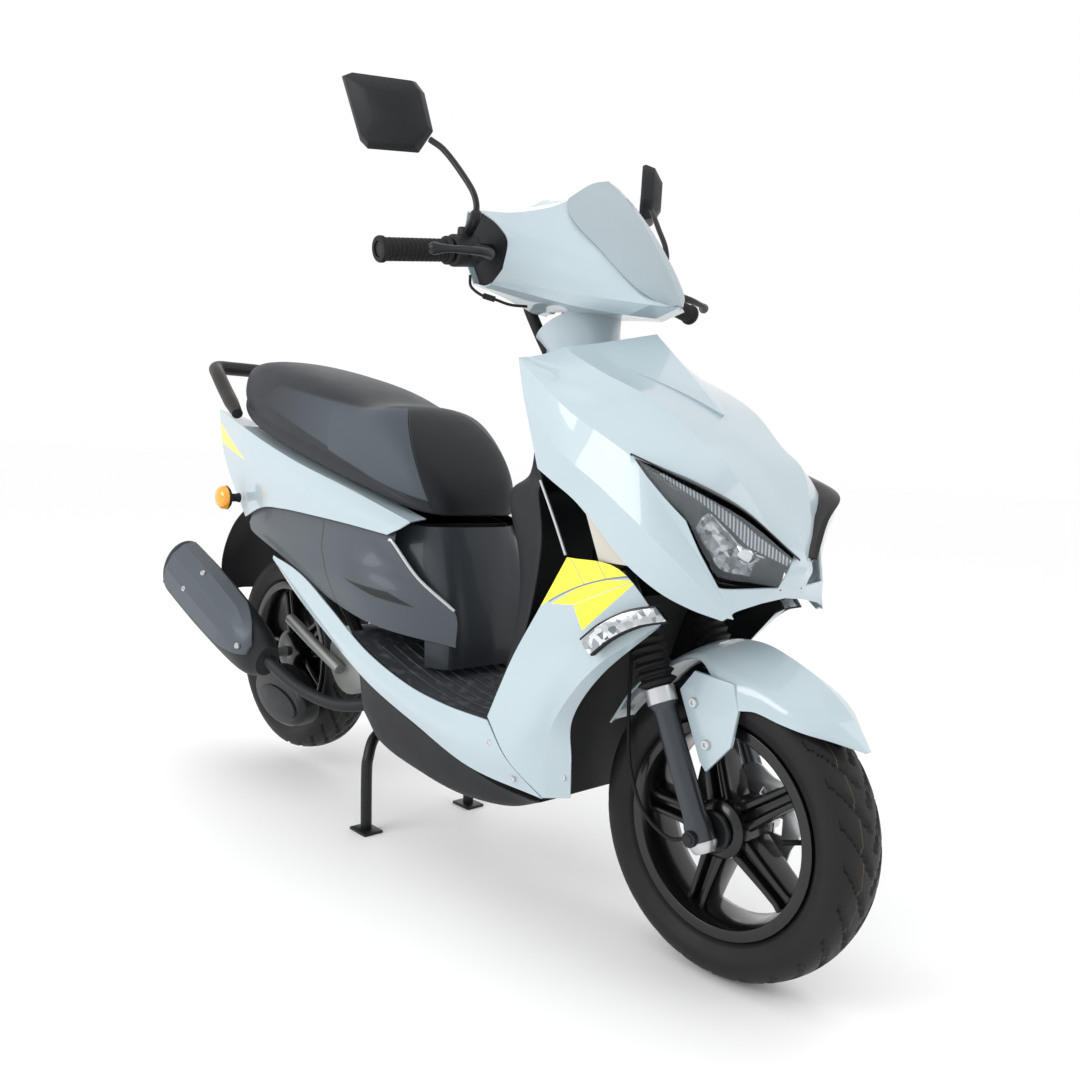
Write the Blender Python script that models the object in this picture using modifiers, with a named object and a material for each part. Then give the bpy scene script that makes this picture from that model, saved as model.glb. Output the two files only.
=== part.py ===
"""Moped scooter on its centre stand: +X forward, +Y to the rider's left, +Z up, metres."""
from math import cos, pi, radians, sin

import bmesh
import bpy
from mathutils import Matrix, Vector

# Wheels: 110/70-12 tyres, and the stance on the centre stand
TYRE_RADIUS = 0.2294
TYRE_HALF_WIDTH = 0.0555
RIM_SEAT_RADIUS = 0.1515
RIM_HALF_WIDTH = 0.0445
FRONT_AXLE = Vector((0.672, 0, TYRE_RADIUS))
REAR_AXLE = Vector((-0.587, 0, 0.2695))
AXLE_RADIUS = 0.0078
REAR_SHAFT_RADIUS = 0.011
SPOKES = 5

# Steering axis, fork and handlebar
CASTER = radians(26)
STEER_UP = Vector((-sin(CASTER), 0, cos(CASTER)))
STEER_FOOT = Vector((0.755, 0, 0))
LEG_HALF_TRACK = 0.079
LEG_RADIUS = 0.018
LEG_TOP = 0.220
STANCHION_RADIUS = 0.0132
STANCHION_LOW = 0.095
YOKE_LOW = 0.405
YOKE_HIGH = 0.430
GAITER_LOW = 0.2225
GAITER_HIGH = 0.325
GAITER_RIBS = 8
STEM_RADIUS = 0.0165
STEM_LOW = 0.650
STEM_HIGH = 1.085
HEAD_TUBE_LOW = 0.695
HEAD_TUBE_HIGH = 0.860
BAR_RADIUS = 0.011
GRIP_RADIUS = 0.0165
GRIP_START = 0.080
GRIP_END = 0.198
POD_START = 0.030
POD_END = 0.076
BAR_ROOT = Vector((0.240, 0.160, 1.070))
BAR_TIP = Vector((0.224, 0.360, 1.040))
MIRROR_TURN = radians(42)

# Body panels and running clearances
PANEL = 0.003
GAP = 0.0006
TUBE = 0.012

# Pivots
SWING_PIVOT = Vector((-0.103, 0, 0.325))
SWING_PIN_RADIUS = 0.0075
STAND_PIVOT = Vector((-0.149, 0, 0.195))
STAND_TUBE = 0.011
STAND_FOOT = Vector((-0.1125, 0.128, 0))
SHOCK_TOP = Vector((-0.440, 0.105, 0.575))
SHOCK_LOW = Vector((-0.530, 0.105, 0.372))
SPRING_CURLS = 7
SPRING_WIRE = 0.004
SPRING_RADIUS = 0.0285

for old in list(bpy.data.objects):
    bpy.data.objects.remove(old, do_unlink=True)

parts = bpy.data.collections.new("moped_scooter")
cutters = bpy.data.collections.new("cutters")
bpy.context.scene.collection.children.link(parts)
bpy.context.scene.collection.children.link(cutters)

FINISHES = {
    "paint": ((0.58, 0.69, 0.74), 0.25, 0.0),
    "dark_panel": ((0.10, 0.115, 0.13), 0.45, 0.0),
    "black_plastic": ((0.02, 0.022, 0.025), 0.55, 0.0),
    "rubber": ((0.012, 0.012, 0.013), 0.8, 0.0),
    "black_metal": ((0.015, 0.015, 0.016), 0.3, 0.6),
    "steel": ((0.55, 0.55, 0.56), 0.3, 1.0),
    "alloy": ((0.62, 0.62, 0.60), 0.4, 0.9),
    "vinyl": ((0.035, 0.038, 0.043), 0.6, 0.0),
    "lens": ((0.75, 0.77, 0.78), 0.1, 0.0),
    "amber": ((0.85, 0.33, 0.02), 0.2, 0.0),
    "red": ((0.45, 0.01, 0.01), 0.2, 0.0),
}


def finish_material(obj, finish):
    """Give an object its own Principled material."""
    colour, roughness, metallic = FINISHES[finish]
    material = bpy.data.materials.new(obj.name)
    material.use_nodes = True
    shader = material.node_tree.nodes["Principled BSDF"]
    shader.inputs["Base Color"].default_value = (*colour, 1)
    shader.inputs["Roughness"].default_value = roughness
    shader.inputs["Metallic"].default_value = metallic
    obj.data.materials.clear()
    obj.data.materials.append(material)


def add_part(name, data, finish):
    """Put mesh or curve data in the parts collection under a node name."""
    obj = bpy.data.objects.new(name, data)
    parts.objects.link(obj)
    finish_material(obj, finish)
    return obj


def add_cutter(name, data):
    """Put a mesh that cuts or joins another in the cutters collection."""
    obj = bpy.data.objects.new(name, data)
    cutters.objects.link(obj)
    obj.hide_render = True
    obj.display_type = "WIRE"
    return obj


def boolean(target, tool, operation):
    modifier = target.modifiers.new(operation.lower(), "BOOLEAN")
    modifier.operation = operation
    modifier.object = tool
    modifier.solver = "EXACT"


def cut(target, tool):
    boolean(target, tool, "DIFFERENCE")


def join(target, tool):
    boolean(target, tool, "UNION")


def spline(points, steps, sharp=()):
    """Points on a smooth line through the given points, with corners at the sharp ones."""
    points = [Vector(point) for point in points]
    last = len(points) - 1
    line = [points[0]]
    for i in range(last):
        before = points[i] if i == 0 or i in sharp else points[i - 1]
        after = points[i + 1] if i + 1 == last or i + 1 in sharp else points[i + 2]
        start = points[i + 1] - before
        finish = after - points[i]
        if i and i not in sharp:
            start = start / 2
        if i + 1 < last and i + 1 not in sharp:
            finish = finish / 2
        for step in range(1, steps + 1):
            t = step / steps
            a = 2 * t ** 3 - 3 * t ** 2 + 1
            b = t ** 3 - 2 * t ** 2 + t
            c = t ** 3 - t ** 2
            line.append(points[i] * a + start * b + points[i + 1] * (1 - a) + finish * c)
    return line


def surface(name, rows, along=1, across=1, sharp=(), closed=False):
    """Open sheet through rows of points; closed joins each row's end to its start."""
    if closed:
        rows = [list(row) + [row[0]] for row in rows]
    fine = [spline(row, along) for row in rows]
    columns = [spline(column, across, sharp) for column in zip(*fine)]
    if closed:
        columns.pop()
    mesh = bmesh.new()
    grid = [[mesh.verts.new(point) for point in column] for column in columns]
    count = len(grid)
    for i in range(count if closed else count - 1):
        for j in range(len(grid[0]) - 1):
            ring = (grid[i][j], grid[(i + 1) % count][j], grid[(i + 1) % count][j + 1], grid[i][j + 1])
            if len(set(ring)) == 4:
                mesh.faces.new(ring)
    return mesh


def to_mesh(name, mesh):
    data = bpy.data.meshes.new(name)
    mesh.to_mesh(data)
    mesh.free()
    return data


def face_away(mesh, inside):
    """Turn an open sheet's faces so that they look away from a point inside the object."""
    bmesh.ops.recalc_face_normals(mesh, faces=mesh.faces)
    inside = Vector(inside)
    lean = sum((f.calc_center_median() - inside).dot(f.normal) * f.calc_area() for f in mesh.faces)
    if lean < 0:
        bmesh.ops.reverse_faces(mesh, faces=mesh.faces)


def thicken(obj, thickness):
    solid = obj.modifiers.new("thickness", "SOLIDIFY")
    solid.thickness = thickness
    solid.offset = -1
    solid.use_even_offset = False


def mirror_half(obj):
    mirror = obj.modifiers.new("mirror", "MIRROR")
    mirror.use_axis = (False, True, False)
    mirror.use_clip = True
    mirror.merge_threshold = 0.0001


def panel(name, rows, finish, inside, whole=False, side=1, thickness=PANEL, along=1, across=1, sharp=()):
    """Moulded panel: a sheet through rows of points, thickened inwards; whole mirrors a half."""
    rows = [[(x, y * side, z) for x, y, z in row] for row in rows]
    mesh = surface(name, rows, along, across, sharp)
    face_away(mesh, (inside[0], inside[1] * side, inside[2]))
    obj = add_part(name, to_mesh(name, mesh), finish)
    if whole:
        mirror_half(obj)
    thicken(obj, thickness)
    return obj


def ring_solid(rings):
    """Closed body through rings of equal count, capped at both ends."""
    mesh = bmesh.new()
    loops = [[mesh.verts.new(point) for point in ring] for ring in rings]
    count = len(loops[0])
    for low, high in zip(loops, loops[1:]):
        for i in range(count):
            mesh.faces.new((low[i], low[(i + 1) % count], high[(i + 1) % count], high[i]))
    mesh.faces.new(loops[0])
    mesh.faces.new(loops[-1])
    bmesh.ops.recalc_face_normals(mesh, faces=mesh.faces)
    return mesh


def place(obj, at, axis):
    """Move an object so that its own Z runs along an axis."""
    obj.location = at
    obj.rotation_mode = "QUATERNION"
    obj.rotation_quaternion = Vector((0, 0, 1)).rotation_difference(Vector(axis))


def turned_data(name, profile):
    """Profile of (radius, height) pairs as a chain of edges, closed unless it meets the axis."""
    count = len(profile)
    touches_axis = profile[0][0] == 0 and profile[-1][0] == 0
    edges = [(i, i + 1) for i in range(count - 1)]
    if not touches_axis:
        edges.append((count - 1, 0))
    data = bpy.data.meshes.new(name)
    data.from_pydata([(radius, 0, height) for radius, height in profile], edges, [])
    return data


def spin(obj, steps):
    screw = obj.modifiers.new("turn", "SCREW")
    screw.axis = "Z"
    screw.steps = steps
    screw.render_steps = steps
    screw.use_merge_vertices = True
    screw.merge_threshold = 0.00005


def turned(name, profile, finish, at, axis, steps=20):
    """Turned part: the profile spun about an axis."""
    obj = add_part(name, turned_data(name, profile), finish)
    spin(obj, steps)
    place(obj, at, axis)
    return obj


def turned_tool(name, profile, at, axis, steps=20):
    tool = add_cutter(name, turned_data(name, profile))
    spin(tool, steps)
    place(tool, at, axis)
    return tool


def rod_profile(radius, low, high):
    return [(0, high), (radius, high), (radius, low), (0, low)]


def tube_profile(outer, inner, low, high):
    return [(outer, high), (outer, low), (inner, low), (inner, high)]


def tube_curve(name, points, radius, sides=2, radii=None):
    curve = bpy.data.curves.new(name, "CURVE")
    curve.dimensions = "3D"
    curve.bevel_depth = radius
    curve.bevel_resolution = sides
    curve.use_fill_caps = True
    line = curve.splines.new("POLY")
    line.points.add(len(points) - 1)
    for i, point in enumerate(points):
        line.points[i].co = (*point, 1)
        line.points[i].radius = radii[i] if radii else 1
    return curve


def tube_mesh(name, points, radius, sides=2, radii=None):
    """Bent tube as a welded mesh, ready to be joined or cut."""
    holder = bpy.data.objects.new(name, tube_curve(name, points, radius, sides, radii))
    cutters.objects.link(holder)
    bpy.context.view_layer.update()
    evaluated = holder.evaluated_get(bpy.context.evaluated_depsgraph_get())
    data = bpy.data.meshes.new_from_object(evaluated)
    bpy.data.objects.remove(holder, do_unlink=True)
    mesh = bmesh.new()
    mesh.from_mesh(data)
    bmesh.ops.remove_doubles(mesh, verts=mesh.verts, dist=0.00002)
    bmesh.ops.recalc_face_normals(mesh, faces=mesh.faces)
    mesh.to_mesh(data)
    mesh.free()
    return data


def box_mesh(name, size, centre=(0, 0, 0), turn=None):
    mesh = bmesh.new()
    bmesh.ops.create_cube(mesh, size=1)
    bmesh.ops.scale(mesh, vec=size, verts=mesh.verts)
    if turn is not None:
        bmesh.ops.rotate(mesh, cent=(0, 0, 0), matrix=turn, verts=mesh.verts)
    bmesh.ops.translate(mesh, vec=centre, verts=mesh.verts)
    return to_mesh(name, mesh)


def plate_mesh(name, outline, low_y, high_y):
    """Flat plate: an outline of (x, z) pairs standing between two values of y."""
    return to_mesh(name, ring_solid([[(x, y, z) for x, z in outline] for y in (low_y, high_y)]))


def axis_point(height):
    return STEER_FOOT + STEER_UP * height


def leg_point(side, height):
    return FRONT_AXLE + Vector((0, side * LEG_HALF_TRACK, 0)) + STEER_UP * height


def bar_point(side, reach):
    point = BAR_ROOT + (BAR_TIP - BAR_ROOT).normalized() * reach
    return Vector((point.x, side * point.y, point.z))


def bar_direction(side):
    along = (BAR_TIP - BAR_ROOT).normalized()
    return Vector((along.x, side * along.y, along.z))


def side_name(side):
    return "right" if side < 0 else "left"


def tyre(name, axle):
    crown = [(0.1530, -0.0360), (0.163, -0.0365), (0.170, -0.0460), (0.190, -TYRE_HALF_WIDTH)]
    crown += [(0.210, -0.050), (0.2235, -0.033), (TYRE_RADIUS, 0)]
    profile = crown + [(radius, -height) for radius, height in reversed(crown[:-1])]
    turned(name, profile[::-1], "rubber", axle, (0, 1, 0), 36)


def rim(name, axle, hub_half, hub_radius, bore, spoke_half):
    """Cast wheel: barrel with lips, hub with its bore, and tapered spokes."""
    lip = 0.163
    half = [(RIM_SEAT_RADIUS, 0.0372), (lip, 0.0375), (lip, RIM_HALF_WIDTH), (0.146, RIM_HALF_WIDTH)]
    half.append((0.139, 0.026))
    profile = half + [(radius, -height) for radius, height in reversed(half)]
    barrel = turned(name, profile[::-1], "black_metal", axle, (0, 1, 0), 36)
    hub = turned_tool(name + "_hub", tube_profile(hub_radius, bore, -hub_half, hub_half), axle, (0, 1, 0))
    mesh = bmesh.new()
    for number in range(SPOKES):
        spoke = bmesh.ops.create_cube(mesh, size=1)["verts"]
        for vert in spoke:
            outer = vert.co.x > 0
            width = 0.026 if outer else 0.036
            depth = spoke_half * (0.9 if outer else 1.0)
            vert.co = Vector((0.144 if outer else bore + 0.012, vert.co.y * 2 * depth, vert.co.z * width))
        angle = Matrix.Rotation(2 * pi * number / SPOKES + pi, 3, "Y")
        bmesh.ops.rotate(mesh, cent=(0, 0, 0), matrix=angle, verts=spoke)
    spokes = add_cutter(name + "_spokes", to_mesh(name + "_spokes", mesh))
    spokes.location = axle
    join(barrel, hub)
    join(barrel, spokes)


def brake_disc():
    """Wavy disc with windows, on the left of the front hub."""
    curve = bpy.data.curves.new("brake_disc", "CURVE")
    curve.dimensions = "2D"
    curve.fill_mode = "BOTH"
    curve.extrude = 0.002
    outline = [(0.082 + 0.004 * cos(8 * a), a) for a in [2 * pi * i / 48 for i in range(48)]]
    bore = [(0.020, 2 * pi * i / 16) for i in range(16)]
    loops = [[(r * cos(a), r * sin(a)) for r, a in outline], [(r * cos(a), r * sin(a)) for r, a in bore]]
    for number in range(6):
        centre = 2 * pi * number / 6
        window = [(0.042, centre - 0.3), (0.042, centre + 0.3), (0.056, centre + 0.24), (0.056, centre - 0.24)]
        loops.append([(r * cos(a), r * sin(a)) for r, a in window])
    for loop in loops:
        line = curve.splines.new("POLY")
        line.points.add(len(loop) - 1)
        line.use_cyclic_u = True
        for point, (x, y) in zip(line.points, loop):
            point.co = (x, y, 0, 1)
    holder = bpy.data.objects.new("brake_disc_outline", curve)
    cutters.objects.link(holder)
    bpy.context.view_layer.update()
    evaluated = holder.evaluated_get(bpy.context.evaluated_depsgraph_get())
    data = bpy.data.meshes.new_from_object(evaluated)
    bpy.data.objects.remove(holder, do_unlink=True)
    mesh = bmesh.new()
    mesh.from_mesh(data)
    bmesh.ops.remove_doubles(mesh, verts=mesh.verts, dist=0.00002)
    bmesh.ops.recalc_face_normals(mesh, faces=mesh.faces)
    mesh.to_mesh(data)
    mesh.free()
    disc = add_part("brake_disc", data, "steel")
    place(disc, FRONT_AXLE + Vector((0, 0.0480, 0)), (0, 1, 0))


def brake_caliper():
    """Caliper straddling the disc behind the left leg."""
    outline = [(-0.072, 0.008), (-0.108, 0.012), (-0.100, 0.058), (-0.066, 0.048)]
    at = [(FRONT_AXLE.x + x, FRONT_AXLE.z + z) for x, z in outline]
    caliper = add_part("brake_caliper", plate_mesh("brake_caliper", at, 0.0385, 0.070), "black_metal")
    slot = [(FRONT_AXLE.x + x, FRONT_AXLE.z + z) for x, z in ((0, -0.05), (-0.0925, -0.02), (-0.085, 0.10), (0, 0.10))]
    cut(caliper, add_cutter("caliper_slot", plate_mesh("caliper_slot", slot, 0.0445, 0.0515)))


def front_axle():
    profile = [(0, 0.109), (0.012, 0.109), (0.012, 0.1006), (AXLE_RADIUS, 0.1006)]
    profile += [(radius, -height) for radius, height in reversed(profile)]
    turned("front_axle", profile, "steel", FRONT_AXLE, (0, 1, 0), 16)


def fork_leg(side):
    """Lower leg: closed at the axle lug, bored for the stanchion, with a collar on top."""
    bore = STANCHION_RADIUS + GAP
    profile = [(0, -0.024), (0.016, -0.024), (0.021, -0.012), (0.021, 0.014), (LEG_RADIUS, 0.030)]
    profile += [(LEG_RADIUS, 0.190), (0.0225, 0.197), (0.0225, LEG_TOP), (bore, LEG_TOP)]
    profile += [(bore, 0.018), (0, 0.018)]
    leg = turned("fork_leg_" + side_name(side), profile[::-1], "black_metal", leg_point(side, 0), STEER_UP, 18)
    hole = rod_profile(AXLE_RADIUS + GAP, -0.15, 0.15)
    cut(leg, turned_tool("axle_hole_" + side_name(side), hole, FRONT_AXLE, (0, 1, 0), 16))


def gaiter(side):
    """Ribbed rubber boot on the leg's collar, with a bore for the stanchion."""
    profile = []
    pitch = (GAITER_HIGH - GAITER_LOW) / GAITER_RIBS
    for rib in range(GAITER_RIBS):
        low = GAITER_LOW + pitch * rib
        profile += [(0.0235, low), (0.0300, low + pitch / 2)]
    profile += [(0.0235, GAITER_HIGH), (STANCHION_RADIUS + 0.0012, GAITER_HIGH)]
    profile += [(STANCHION_RADIUS + 0.0012, GAITER_LOW)]
    turned("gaiter_" + side_name(side), profile[::-1], "rubber", leg_point(side, 0), STEER_UP, 14)


def fork_crown():
    """Steering stem, yoke and the two stanchions."""
    low = STEM_LOW
    stem = turned("fork_crown", rod_profile(STEM_RADIUS, low, STEM_HIGH), "black_metal", STEER_FOOT, STEER_UP, 20)
    for side in (-1, 1):
        rod = rod_profile(STANCHION_RADIUS, STANCHION_LOW, YOKE_HIGH - 0.004)
        join(stem, turned_tool("stanchion_" + side_name(side), rod, leg_point(side, 0), STEER_UP, 16))
    centre = FRONT_AXLE + STEER_UP * (YOKE_LOW + YOKE_HIGH) / 2 + Vector((-0.012, 0, -0.006))
    turn = Matrix.Rotation(-CASTER, 3, "Y")
    size = (0.062, 2 * (LEG_HALF_TRACK + 0.020), YOKE_HIGH - YOKE_LOW)
    join(stem, add_cutter("yoke", box_mesh("yoke", size, centre, turn)))


def front_fender():
    """Fender arched over the tyre, narrow between the legs, with a bracket each side."""
    stations = ((38, 0.266, 0.262, 0.006), (45, 0.268, 0.243, 0.030), (52, 0.272, 0.229, 0.055),
                (60, 0.274, 0.217, 0.066), (71, 0.276, 0.206, 0.066), (85, 0.281, 0.195, 0.066),
                (100, 0.275, 0.250, 0.053), (117, 0.262, 0.250, 0.044), (134, 0.256, 0.246, 0.052),
                (152, 0.252, 0.243, 0.054))
    rows = []
    for share, blend in ((0, 0), (0.55, 0.25), (0.92, 0.62), (1, 1)):
        row = []
        for degrees, crown, edge, width in stations:
            radius = crown + (edge - crown) * blend
            angle = radians(degrees)
            row.append((FRONT_AXLE.x + radius * cos(angle), width * share, FRONT_AXLE.z + radius * sin(angle)))
        rows.append(row)
    fender = panel("front_fender", rows, "paint", FRONT_AXLE, whole=True, along=2)
    outline = [(0.605, 0.430), (0.630, 0.462), (0.700, 0.456), (0.712, 0.420), (0.704, 0.366), (0.663, 0.319),
               (0.651, 0.331)]
    for side in (-1, 1):
        low, high = sorted((side * 0.0605, side * 0.0675))
        join(fender, add_cutter("fender_bracket", plate_mesh("fender_bracket", outline, low, high)))


def speedo_cable():
    """Speedometer cable from the right of the front hub, looping back and up beside the leg."""
    route = [(0.640, -0.062, 0.212), (0.600, -0.064, 0.200), (0.550, -0.067, 0.228), (0.519, -0.068, 0.290),
             (0.508, -0.067, 0.370), (0.505, -0.065, 0.430), (0.500, -0.060, 0.490)]
    add_part("speedo_cable", tube_mesh("speedo_cable", spline(route, 5), 0.003), "rubber")


def handlebar():
    """Bar with its rise, clamped on the stem by a collar."""
    right = [bar_point(-1, 0.198), bar_point(-1, 0), (0.256, -0.105, 1.056), (0.272, -0.045, 1.020)]
    path = right + [(0.2735, 0, 0.997)] + [(x, -y, z) for x, y, z in reversed(right)]
    bar = add_part("handlebar", tube_mesh("handlebar", path, BAR_RADIUS), "black_metal")
    bore = STEM_RADIUS + GAP
    cap = [(0, 1.110), (0.0235, 1.110), (0.0235, 1.035), (bore, 1.035), (bore, STEM_HIGH + GAP), (0, STEM_HIGH + GAP)]
    join(bar, turned_tool("bar_clamp", cap, STEER_FOOT, STEER_UP))


def headset_cover():
    """Hollow cover round the bar, open at both wing ends and over the stem."""
    rows = [
        [(0.250, 0, 1.176), (0.335, 0, 1.190), (0.400, 0, 1.125), (0.460, 0, 1.050), (0.499, 0, 0.990),
         (0.452, 0, 0.976), (0.360, 0, 0.984), (0.235, 0, 0.985), (0.212, 0, 1.085)],
        [(0.245, 0.060, 1.166), (0.315, 0.060, 1.160), (0.375, 0.066, 1.090), (0.430, 0.058, 1.032),
         (0.475, 0.040, 0.990), (0.430, 0.040, 0.977), (0.345, 0.055, 0.985), (0.233, 0.060, 0.988),
         (0.210, 0.060, 1.085)],
        [(0.228, 0.100, 1.143), (0.300, 0.100, 1.140), (0.335, 0.105, 1.085), (0.365, 0.100, 1.040),
         (0.385, 0.085, 1.003), (0.355, 0.090, 0.990), (0.300, 0.090, 0.993), (0.228, 0.090, 0.998),
         (0.205, 0.100, 1.080)],
        [(0.215, 0.145, 1.136), (0.270, 0.145, 1.128), (0.310, 0.135, 1.082), (0.318, 0.128, 1.050),
         (0.305, 0.125, 1.018), (0.285, 0.125, 1.008), (0.255, 0.125, 1.006), (0.218, 0.125, 1.010),
         (0.199, 0.140, 1.075)],
        [(0.205, 0.183, 1.130), (0.238, 0.183, 1.127), (0.265, 0.172, 1.108), (0.285, 0.165, 1.080),
         (0.270, 0.160, 1.040), (0.250, 0.165, 1.018), (0.232, 0.165, 1.015), (0.208, 0.168, 1.020),
         (0.194, 0.180, 1.075)],
    ]
    mesh = surface("headset_cover", rows, closed=True)
    face_away(mesh, (0.27, 0.09, 1.07))
    cover = add_part("headset_cover", to_mesh("headset_cover", mesh), "paint")
    mirror_half(cover)
    thicken(cover, 0.0025)
    for radius, high in ((0.060, 1.10), (0.046, 1.15)):
        hole = rod_profile(radius, 1.04, high)
        cut(cover, turned_tool("stem_hole", hole, STEER_FOOT, STEER_UP, 16))


def neck_shroud():
    profile = [(0.054, 1.000), (0.056, 1.040), (0.056, 1.078), (0.052, 1.078), (0.052, 1.040), (0.050, 1.000)]
    turned("neck_shroud", profile[::-1], "paint", STEER_FOOT, STEER_UP, 24)


def grip(name, side):
    """Rubber sleeve with a flange at its inner end."""
    bore = BAR_RADIUS + GAP
    profile = [(bore, GRIP_END + 0.002), (0.019, GRIP_END + 0.002), (0.019, GRIP_END - 0.006)]
    profile += [(GRIP_RADIUS, GRIP_END - 0.008), (GRIP_RADIUS, GRIP_START + 0.006), (0.021, GRIP_START + 0.004)]
    profile += [(0.021, GRIP_START), (bore, GRIP_START)]
    turned(name, profile, "rubber", bar_point(side, 0), bar_direction(side), 18)


def switch_pod(side):
    """Switch housing round the bar, with the lever's perch and a recess for the button."""
    name = "switch_pod_" + side_name(side)
    along = bar_direction(side)
    profile = tube_profile(0.024, BAR_RADIUS + GAP, POD_START, POD_END)
    pod = turned(name, profile, "black_plastic", bar_point(side, 0), along, 18)
    perch_at = bar_point(side, 0.044) + Vector((0.028, 0, -0.006))
    perch = box_mesh(name + "_perch", (0.026, 0.022, 0.020), perch_at)
    join(pod, add_cutter(name + "_perch", perch))
    recess = rod_profile(0.0058, 0.018, 0.05)
    cut(pod, turned_tool(name + "_recess", recess, bar_point(side, 0.058), (-1, 0, 0), 14))


def button(name, side):
    cap = rod_profile(0.0052, 0.0225, 0.0285)
    turned(name, cap, "black_plastic", bar_point(side, 0.058), (-1, 0, 0), 14)


def brake_lever(side):
    """Lever from its pivot, out along the grip to a ball end."""
    pivot = bar_point(side, 0.044) + Vector((0.053, 0, -0.010))
    reach = [(0.0, 0.0), (0.012, 0.020), (0.018, 0.050), (0.014, 0.085), (0.006, 0.105), (0.002, 0.112)]
    route = [pivot + Vector((x, side * y, -0.10 * y)) for x, y in reach]
    sizes = [1.5, 1.1, 1.0, 0.9, 1.4, 0.8]
    name = "brake_lever_" + side_name(side)
    add_part(name, tube_mesh(name, route, 0.0062, 2, sizes), "black_metal")


def mirror_turn(side):
    """Both heads are turned in, with their outer tips to the rear."""
    return Matrix.Rotation(side * MIRROR_TURN, 3, "Z")


def mirror_ball(side):
    return Vector((0.196, side * 0.252, 1.226))


def mirror_stem(side):
    base = bar_point(side, 0.052)
    route = [base + Vector((0.010, 0, 0.0265)), Vector((0.272, side * 0.218, 1.110))]
    route += [Vector((0.268, side * 0.220, 1.139)), Vector((0.242, side * 0.228, 1.175))]
    route += [Vector((0.215, side * 0.240, 1.207)), mirror_ball(side) + Vector((0, 0, -0.004))]
    name = "mirror_stem_" + side_name(side)
    line = spline(route, 3)
    sizes = [1.7 if i < 4 else 1.0 for i in range(len(line))]
    add_part(name, tube_mesh(name, line, 0.0048, 2, sizes), "black_metal")


def mirror_head(side):
    """Kite-shaped head: glass face to the rear, crested back."""
    kite = [(0.002, 0.014), (0.012, 0.066), (0.026, 0.082), (0.124, 0.088), (0.138, 0.082), (0.108, -0.009),
            (0.096, -0.020), (0.028, -0.021)]
    middle = Vector((0, 0.066, 0.034))
    rings = []
    for back, share in ((-0.020, 0.93), (-0.014, 1.0), (0.004, 0.90), (0.020, 0.45)):
        ring = []
        for y, z in kite:
            point = Vector((back, middle.y + (y - middle.y) * share, middle.z + (z - middle.z) * share))
            ring.append(mirror_ball(side) + mirror_turn(side) @ Vector((point.x, side * point.y, point.z)))
        rings.append(ring)
    name = "mirror_" + side_name(side)
    add_part(name, to_mesh(name, ring_solid(rings)), "black_plastic")


HEADLIGHT = ((0.584, 0.172, 0.761), (0.659, 0.168, 0.734), (0.705, 0.150, 0.713), (0.727, 0.095, 0.685),
             (0.757, 0.030, 0.637), (0.736, 0.034, 0.597), (0.688, 0.105, 0.608), (0.677, 0.135, 0.649),
             (0.666, 0.152, 0.684), (0.638, 0.163, 0.709), (0.608, 0.170, 0.737))


def headlight_prism(side, grow, outward, inward):
    """Prism through the headlight's outline, grown or shrunk about its middle."""
    corners = [Vector((x, side * y, z)) for x, y, z in HEADLIGHT]
    middle = sum(corners, Vector()) / len(corners)
    normal = sum(((a - middle).cross(b - middle) for a, b in zip(corners, corners[1:] + corners[:1])), Vector())
    normal.normalize()
    if normal.x < 0:
        normal = -normal
    rings = []
    for depth in (outward, -inward):
        rings.append([corner + (corner - middle).normalized() * grow + normal * depth for corner in corners])
    return to_mesh("headlight_prism", ring_solid(rings))


def front_fairing():
    """Hood, cheeks and chin in one moulding, with two headlight openings."""
    rows = [
        [(0.453, 0, 0.949), (0.528, 0, 0.886), (0.594, 0, 0.828), (0.641, 0, 0.791), (0.690, 0, 0.735),
         (0.758, 0, 0.636), (0.745, 0, 0.605), (0.728, 0, 0.578)],
        [(0.375, 0.120, 0.917), (0.472, 0.135, 0.878), (0.563, 0.115, 0.838), (0.633, 0.095, 0.786),
         (0.689, 0.085, 0.744), (0.748, 0.030, 0.634), (0.742, 0.034, 0.603), (0.724, 0.050, 0.573)],
        [(0.355, 0.150, 0.908), (0.450, 0.158, 0.867), (0.528, 0.148, 0.823), (0.629, 0.140, 0.770),
         (0.679, 0.148, 0.714), (0.703, 0.134, 0.663), (0.712, 0.124, 0.615), (0.719, 0.104, 0.563)],
        [(0.326, 0.166, 0.900), (0.395, 0.172, 0.855), (0.462, 0.174, 0.815), (0.529, 0.176, 0.785),
         (0.586, 0.174, 0.755), (0.640, 0.168, 0.695), (0.679, 0.150, 0.645), (0.723, 0.110, 0.555)],
        [(0.352, 0.178, 0.850), (0.410, 0.186, 0.790), (0.472, 0.192, 0.755), (0.537, 0.194, 0.722),
         (0.596, 0.192, 0.686), (0.649, 0.182, 0.647), (0.685, 0.160, 0.610), (0.717, 0.116, 0.556)],
        [(0.400, 0.184, 0.738), (0.440, 0.188, 0.720), (0.487, 0.188, 0.696), (0.532, 0.186, 0.662),
         (0.582, 0.179, 0.618), (0.632, 0.164, 0.584), (0.672, 0.142, 0.564), (0.709, 0.116, 0.551)],
    ]
    fairing = panel("front_fairing", rows, "paint", (0.45, 0, 0.70), whole=True, along=2, sharp=(1, 3, 4))
    for side in (-1, 1):
        cut(fairing, add_cutter("headlight_opening", headlight_prism(side, 0.002, 0.05, 0.05)))


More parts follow.
